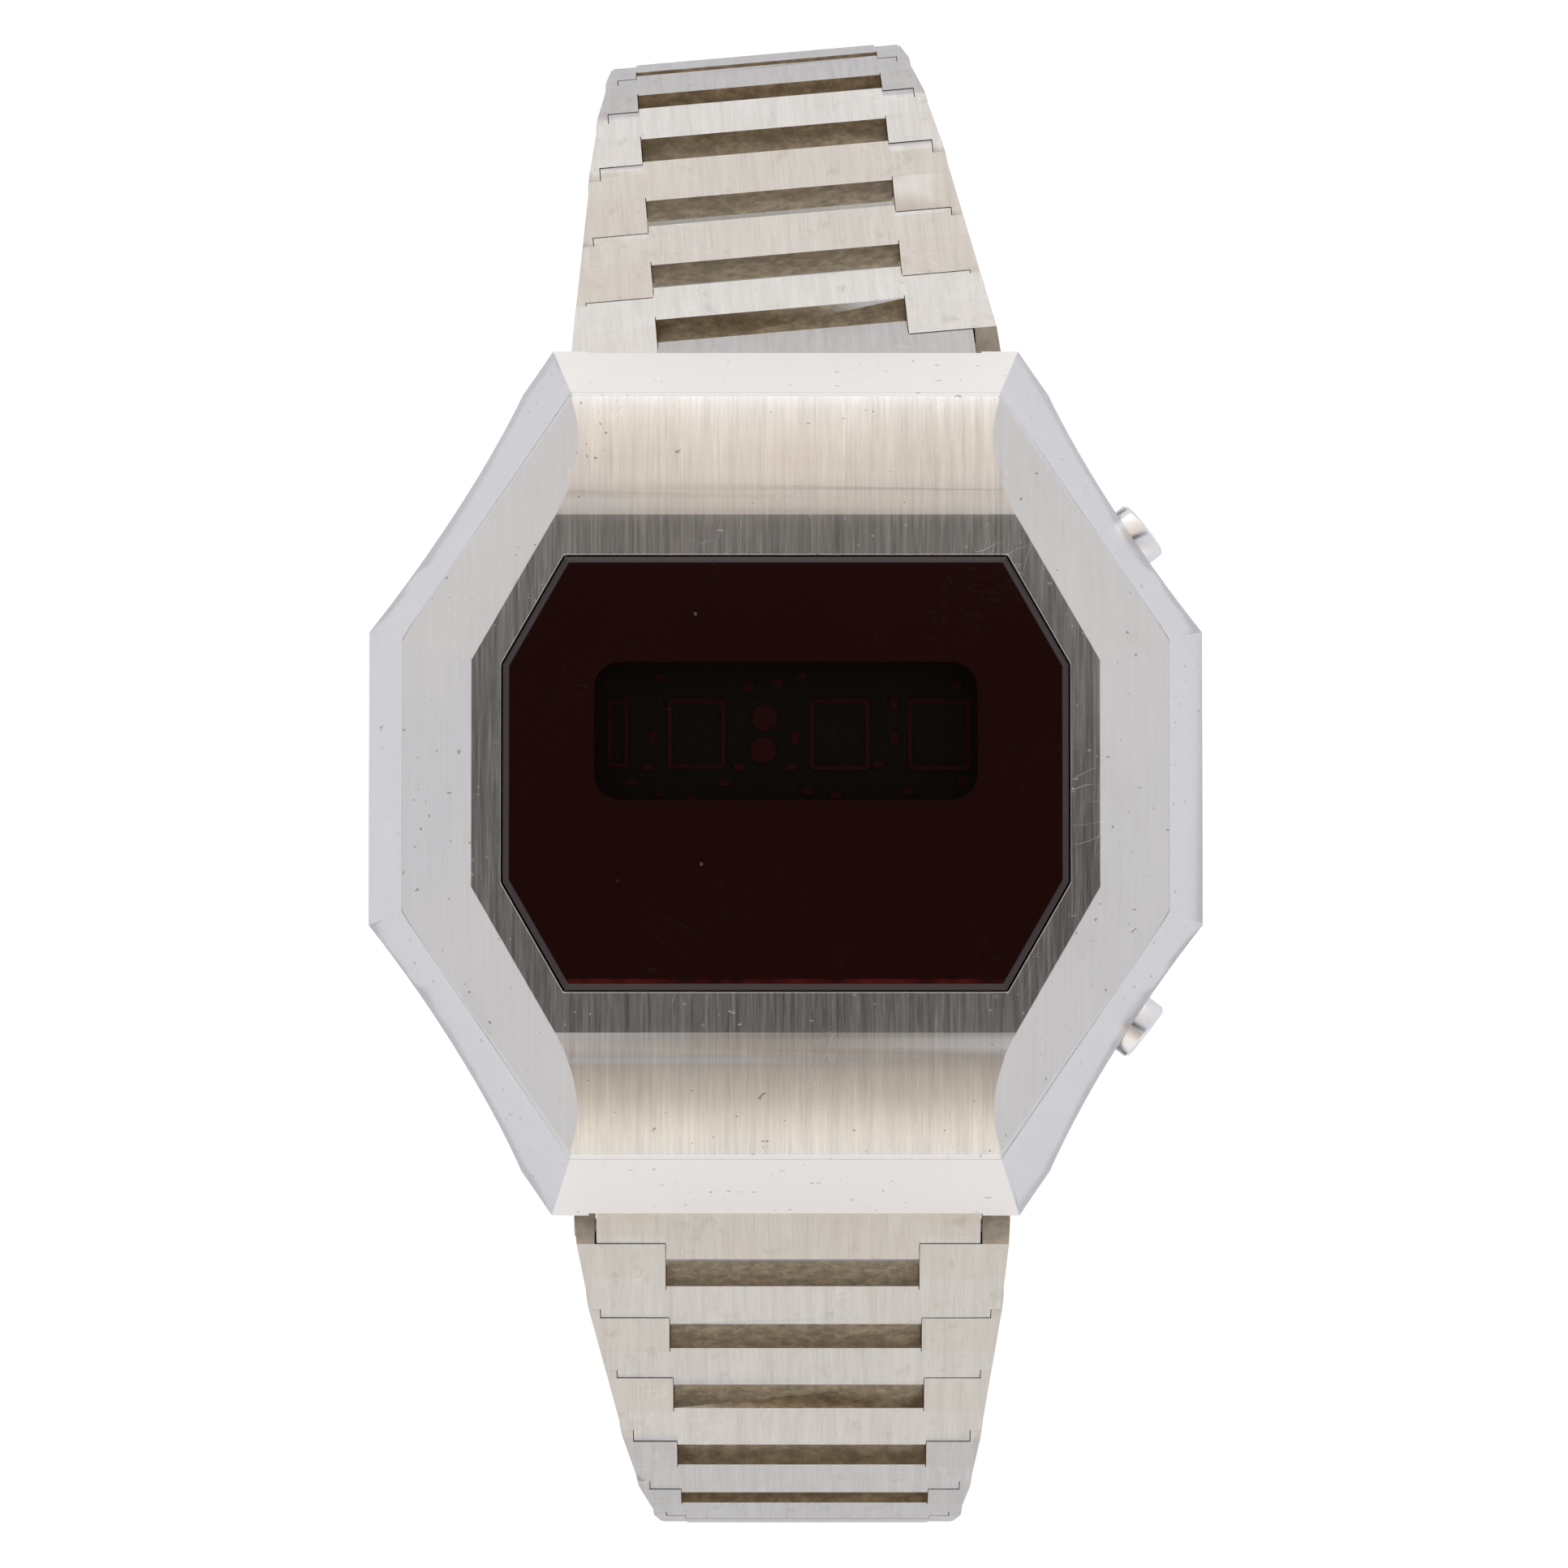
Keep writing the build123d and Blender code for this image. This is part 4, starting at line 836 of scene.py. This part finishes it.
class WATCH_OT_buttons(bpy.types.Operator):
    """Finish the push buttons and wind a coil spring under each cap"""
    bl_idname = "watch.buttons"
    bl_label = "Push buttons"

    def execute(self, context):
        steel = context.scene.watch_steel
        sizes = context.scene.watch_spring
        chrome = chrome_finish(steel)
        wire = pin_finish(steel)
        travel = {joint["name"]: Vector(joint["axis"]) for joint in frame["joints"]}
        for word in ("upper", "lower"):
            dress("pusher_" + word, chrome, steel.edge)
            dress("pusher_clip_" + word, wire)
            node = "pusher_spring_" + word
            outward = -travel[f"button_{word}_press"]
            low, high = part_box(node)
            middle = (low + high) / 2
            reach = (high.z - low.z) / 2
            # Half length along the button, from the box's width across X
            half = ((high.x - low.x) / 2 - reach * abs(outward.y)) / abs(outward.x)
            points = coil_points(sizes, middle, outward, reach - sizes.wire / 2, half - sizes.wire / 2)
            piece = new_piece("button_coil_" + word, sweep(points, sizes.wire / 2), wire, "head")
            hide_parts(node)
            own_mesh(piece)
        return {"FINISHED"}


class WATCH_OT_bracelet(bpy.types.Operator):
    """Finish the end pieces and the links"""
    bl_idname = "watch.bracelet"
    bl_label = "Bracelet"

    def execute(self, context):
        steel = context.scene.watch_steel
        hinges = {joint["child"]: joint for joint in frame["joints"] if joint["type"] == "hinge"}
        for half, last in (("upper", "catch_plate"), ("lower", "clasp_cover")):
            count = sum(name.startswith("link_" + half) for name in NODES)
            chain = ["end_piece_" + half]
            chain += [f"link_{half}_{index + 1:02d}" for index in range(count)]
            for name, follower in zip(chain, chain[1:] + [last]):
                hinge = Vector(hinges[name]["pos_m"])
                # The end piece leans with its links, so it takes its line from the first of them
                across = Vector(hinges[chain[1]]["axis"])
                way = Vector(hinges[follower]["pos_m"]) - hinge
                along = (way - across * way.dot(across)).normalized()
                material = link_finish(steel, context.scene.watch_links, name, hinge, across, along)
                dress(name, material, steel.link_edge)
        return {"FINISHED"}


class WATCH_OT_clasp(bpy.types.Operator):
    """Finish the clasp cover, its lever and pin, and the catch plate"""
    bl_idname = "watch.clasp"
    bl_label = "Clasp"

    def execute(self, context):
        steel = context.scene.watch_steel
        sheet = clasp_finish(steel)
        for name in ("clasp_cover", "clasp_lever"):
            dress(name, sheet, steel.edge)
        # The catch plate hinges on the last link and has edges as fine as a link's
        dress("catch_plate", sheet, steel.link_edge)
        dress("clasp_lever_pin", pin_finish(steel))
        return {"FINISHED"}


class WATCH_OT_stage(bpy.types.Operator):
    """Set up the floor, the light and the camera"""
    bl_idname = "watch.stage"
    bl_label = "Stage"

    def execute(self, context):
        stage = context.scene.watch_stage
        scene = context.scene
        half = stage.floor_size / 2
        mesh = bmesh.new()
        mesh.faces.new([mesh.verts.new(corner) for corner in
                        ((-half, -half, 0), (half, -half, 0), (half, half, 0), (-half, half, 0))])
        data = bpy.data.meshes.new("floor")
        mesh.to_mesh(data)
        mesh.free()
        floor = bpy.data.objects.new("floor", data)
        scene.collection.objects.link(floor)
        data.materials.append(self.floor_paint(stage))
        scene.world = bpy.data.worlds.new("tent")
        self.tent(scene.world, stage)
        self.camera(scene, stage)
        scene.view_settings.view_transform = "Standard"
        return {"FINISHED"}

    @staticmethod
    def floor_paint(stage):
        """White paper, a little whiter to the camera than to the object."""
        paint = new_paint("white_floor")
        place = paint.millimetres()
        tooth = paint.noise(place, (0.2, 0.2, 0.2), detail=3)
        colour = paint.mix(tooth * 0.1, stage.floor, scaled(stage.floor, 0.97))
        diffuse = paint.node("ShaderNodeBsdfDiffuse", None, {"Color": colour})
        seen = paint.node("ShaderNodeLightPath", output="Is Camera Ray")
        reflected = seen.out("Is Glossy Ray").most(seen.out("Is Transmission Ray"))
        white = (stage.floor_lift,) * 3
        glow = paint.mix(reflected, paint.mix(seen, (0, 0, 0), white), stage.floor_glint)
        lift = paint.node("ShaderNodeEmission", None, {"Color": glow, "Strength": 1.0})
        both = paint.node("ShaderNodeAddShader", None, {0: diffuse, 1: lift})
        paint.node("ShaderNodeOutputMaterial", None, {"Surface": both})
        return paint.owner

    @staticmethod
    def tent(world, stage):
        """A light tent, white to the camera: warm front and back, cool sides and a shaded slot on top."""
        paint = Paint(world)
        way = paint.node("ShaderNodeTexCoord", output="Generated")
        x, y, z = paint.parts(paint.vector("NORMALIZE", way))
        length = paint.node("ShaderNodeValToRGB", {"stops": TENT_STOPS}, {"Fac": y * 0.5 + 0.5})
        side = (x * x) / (x * x + y * y + 0.0001)
        colour = paint.mix(side.step(0.15, 0.85), length, stage.cool)
        front = (y - stage.shade_front) / stage.shade_depth
        across = x / stage.shade_width
        spread = (front * front + across * across) ** 0.5
        shade = (1 - spread.step(stage.shade_core, stage.shade_end)) * z.step(0.3, 0.5)
        colour = paint.mix(shade, colour, stage.dark)
        seen = paint.node("ShaderNodeLightPath", output="Is Camera Ray")
        colour = paint.mix(seen, colour, (1, 1, 1))
        glow = paint.node("ShaderNodeBackground", None, {"Color": colour, "Strength": 1.0})
        paint.node("ShaderNodeOutputWorld", None, {"Surface": glow})

    @staticmethod
    def camera(scene, stage):
        """A camera over the lens, leaning towards six o'clock."""
        low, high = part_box("lens")
        aim = Vector((0, (low.y + high.y) / 2, (low.z + high.z) / 2)) + Vector(stage.aim)
        away = Vector((0, -sin(stage.lean), cos(stage.lean)))
        data = bpy.data.cameras.new("camera")
        data.sensor_width = stage.sensor
        data.lens = stage.sensor * stage.distance / stage.view_width
        data.clip_start = stage.nearest
        data.clip_end = stage.farthest
        camera = bpy.data.objects.new("camera", data)
        scene.collection.objects.link(camera)
        across = Vector((1, 0, 0))
        up = away.cross(across)
        turn = Matrix((across, up, away)).transposed()
        camera.matrix_world = Matrix.Translation(aim + away * stage.distance) @ turn.to_4x4()
        scene.camera = camera


OPERATORS = (WATCH_OT_case, WATCH_OT_lens, WATCH_OT_module, WATCH_OT_buttons, WATCH_OT_bracelet,
             WATCH_OT_clasp, WATCH_OT_stage)


class WATCH_PT_panel(bpy.types.Panel):
    """Lists the watch's pieces and settings in the sidebar"""
    bl_idname = "WATCH_PT_panel"
    bl_label = "Watch"
    bl_space_type = "VIEW_3D"
    bl_region_type = "UI"
    bl_category = "Watch"

    def draw(self, context):
        for operator in OPERATORS:
            self.layout.operator(operator.bl_idname)
        for group, kind in GROUPS.items():
            box = self.layout.box()
            for name in kind.__annotations__:
                box.prop(getattr(context.scene, group), name)


def register():
    for kind in (*GROUPS.values(), *OPERATORS, WATCH_PT_panel):
        bpy.utils.register_class(kind)
    for group, kind in GROUPS.items():
        setattr(bpy.types.Scene, group, bpy.props.PointerProperty(type=kind))


def unregister():
    for group in GROUPS:
        delattr(bpy.types.Scene, group)
    for kind in reversed((*GROUPS.values(), *OPERATORS, WATCH_PT_panel)):
        bpy.utils.unregister_class(kind)


def main():
    register()
    for operator in OPERATORS:
        family, name = operator.bl_idname.split(".")
        getattr(getattr(bpy.ops, family), name)()


if __name__ == "__main__":
    main()
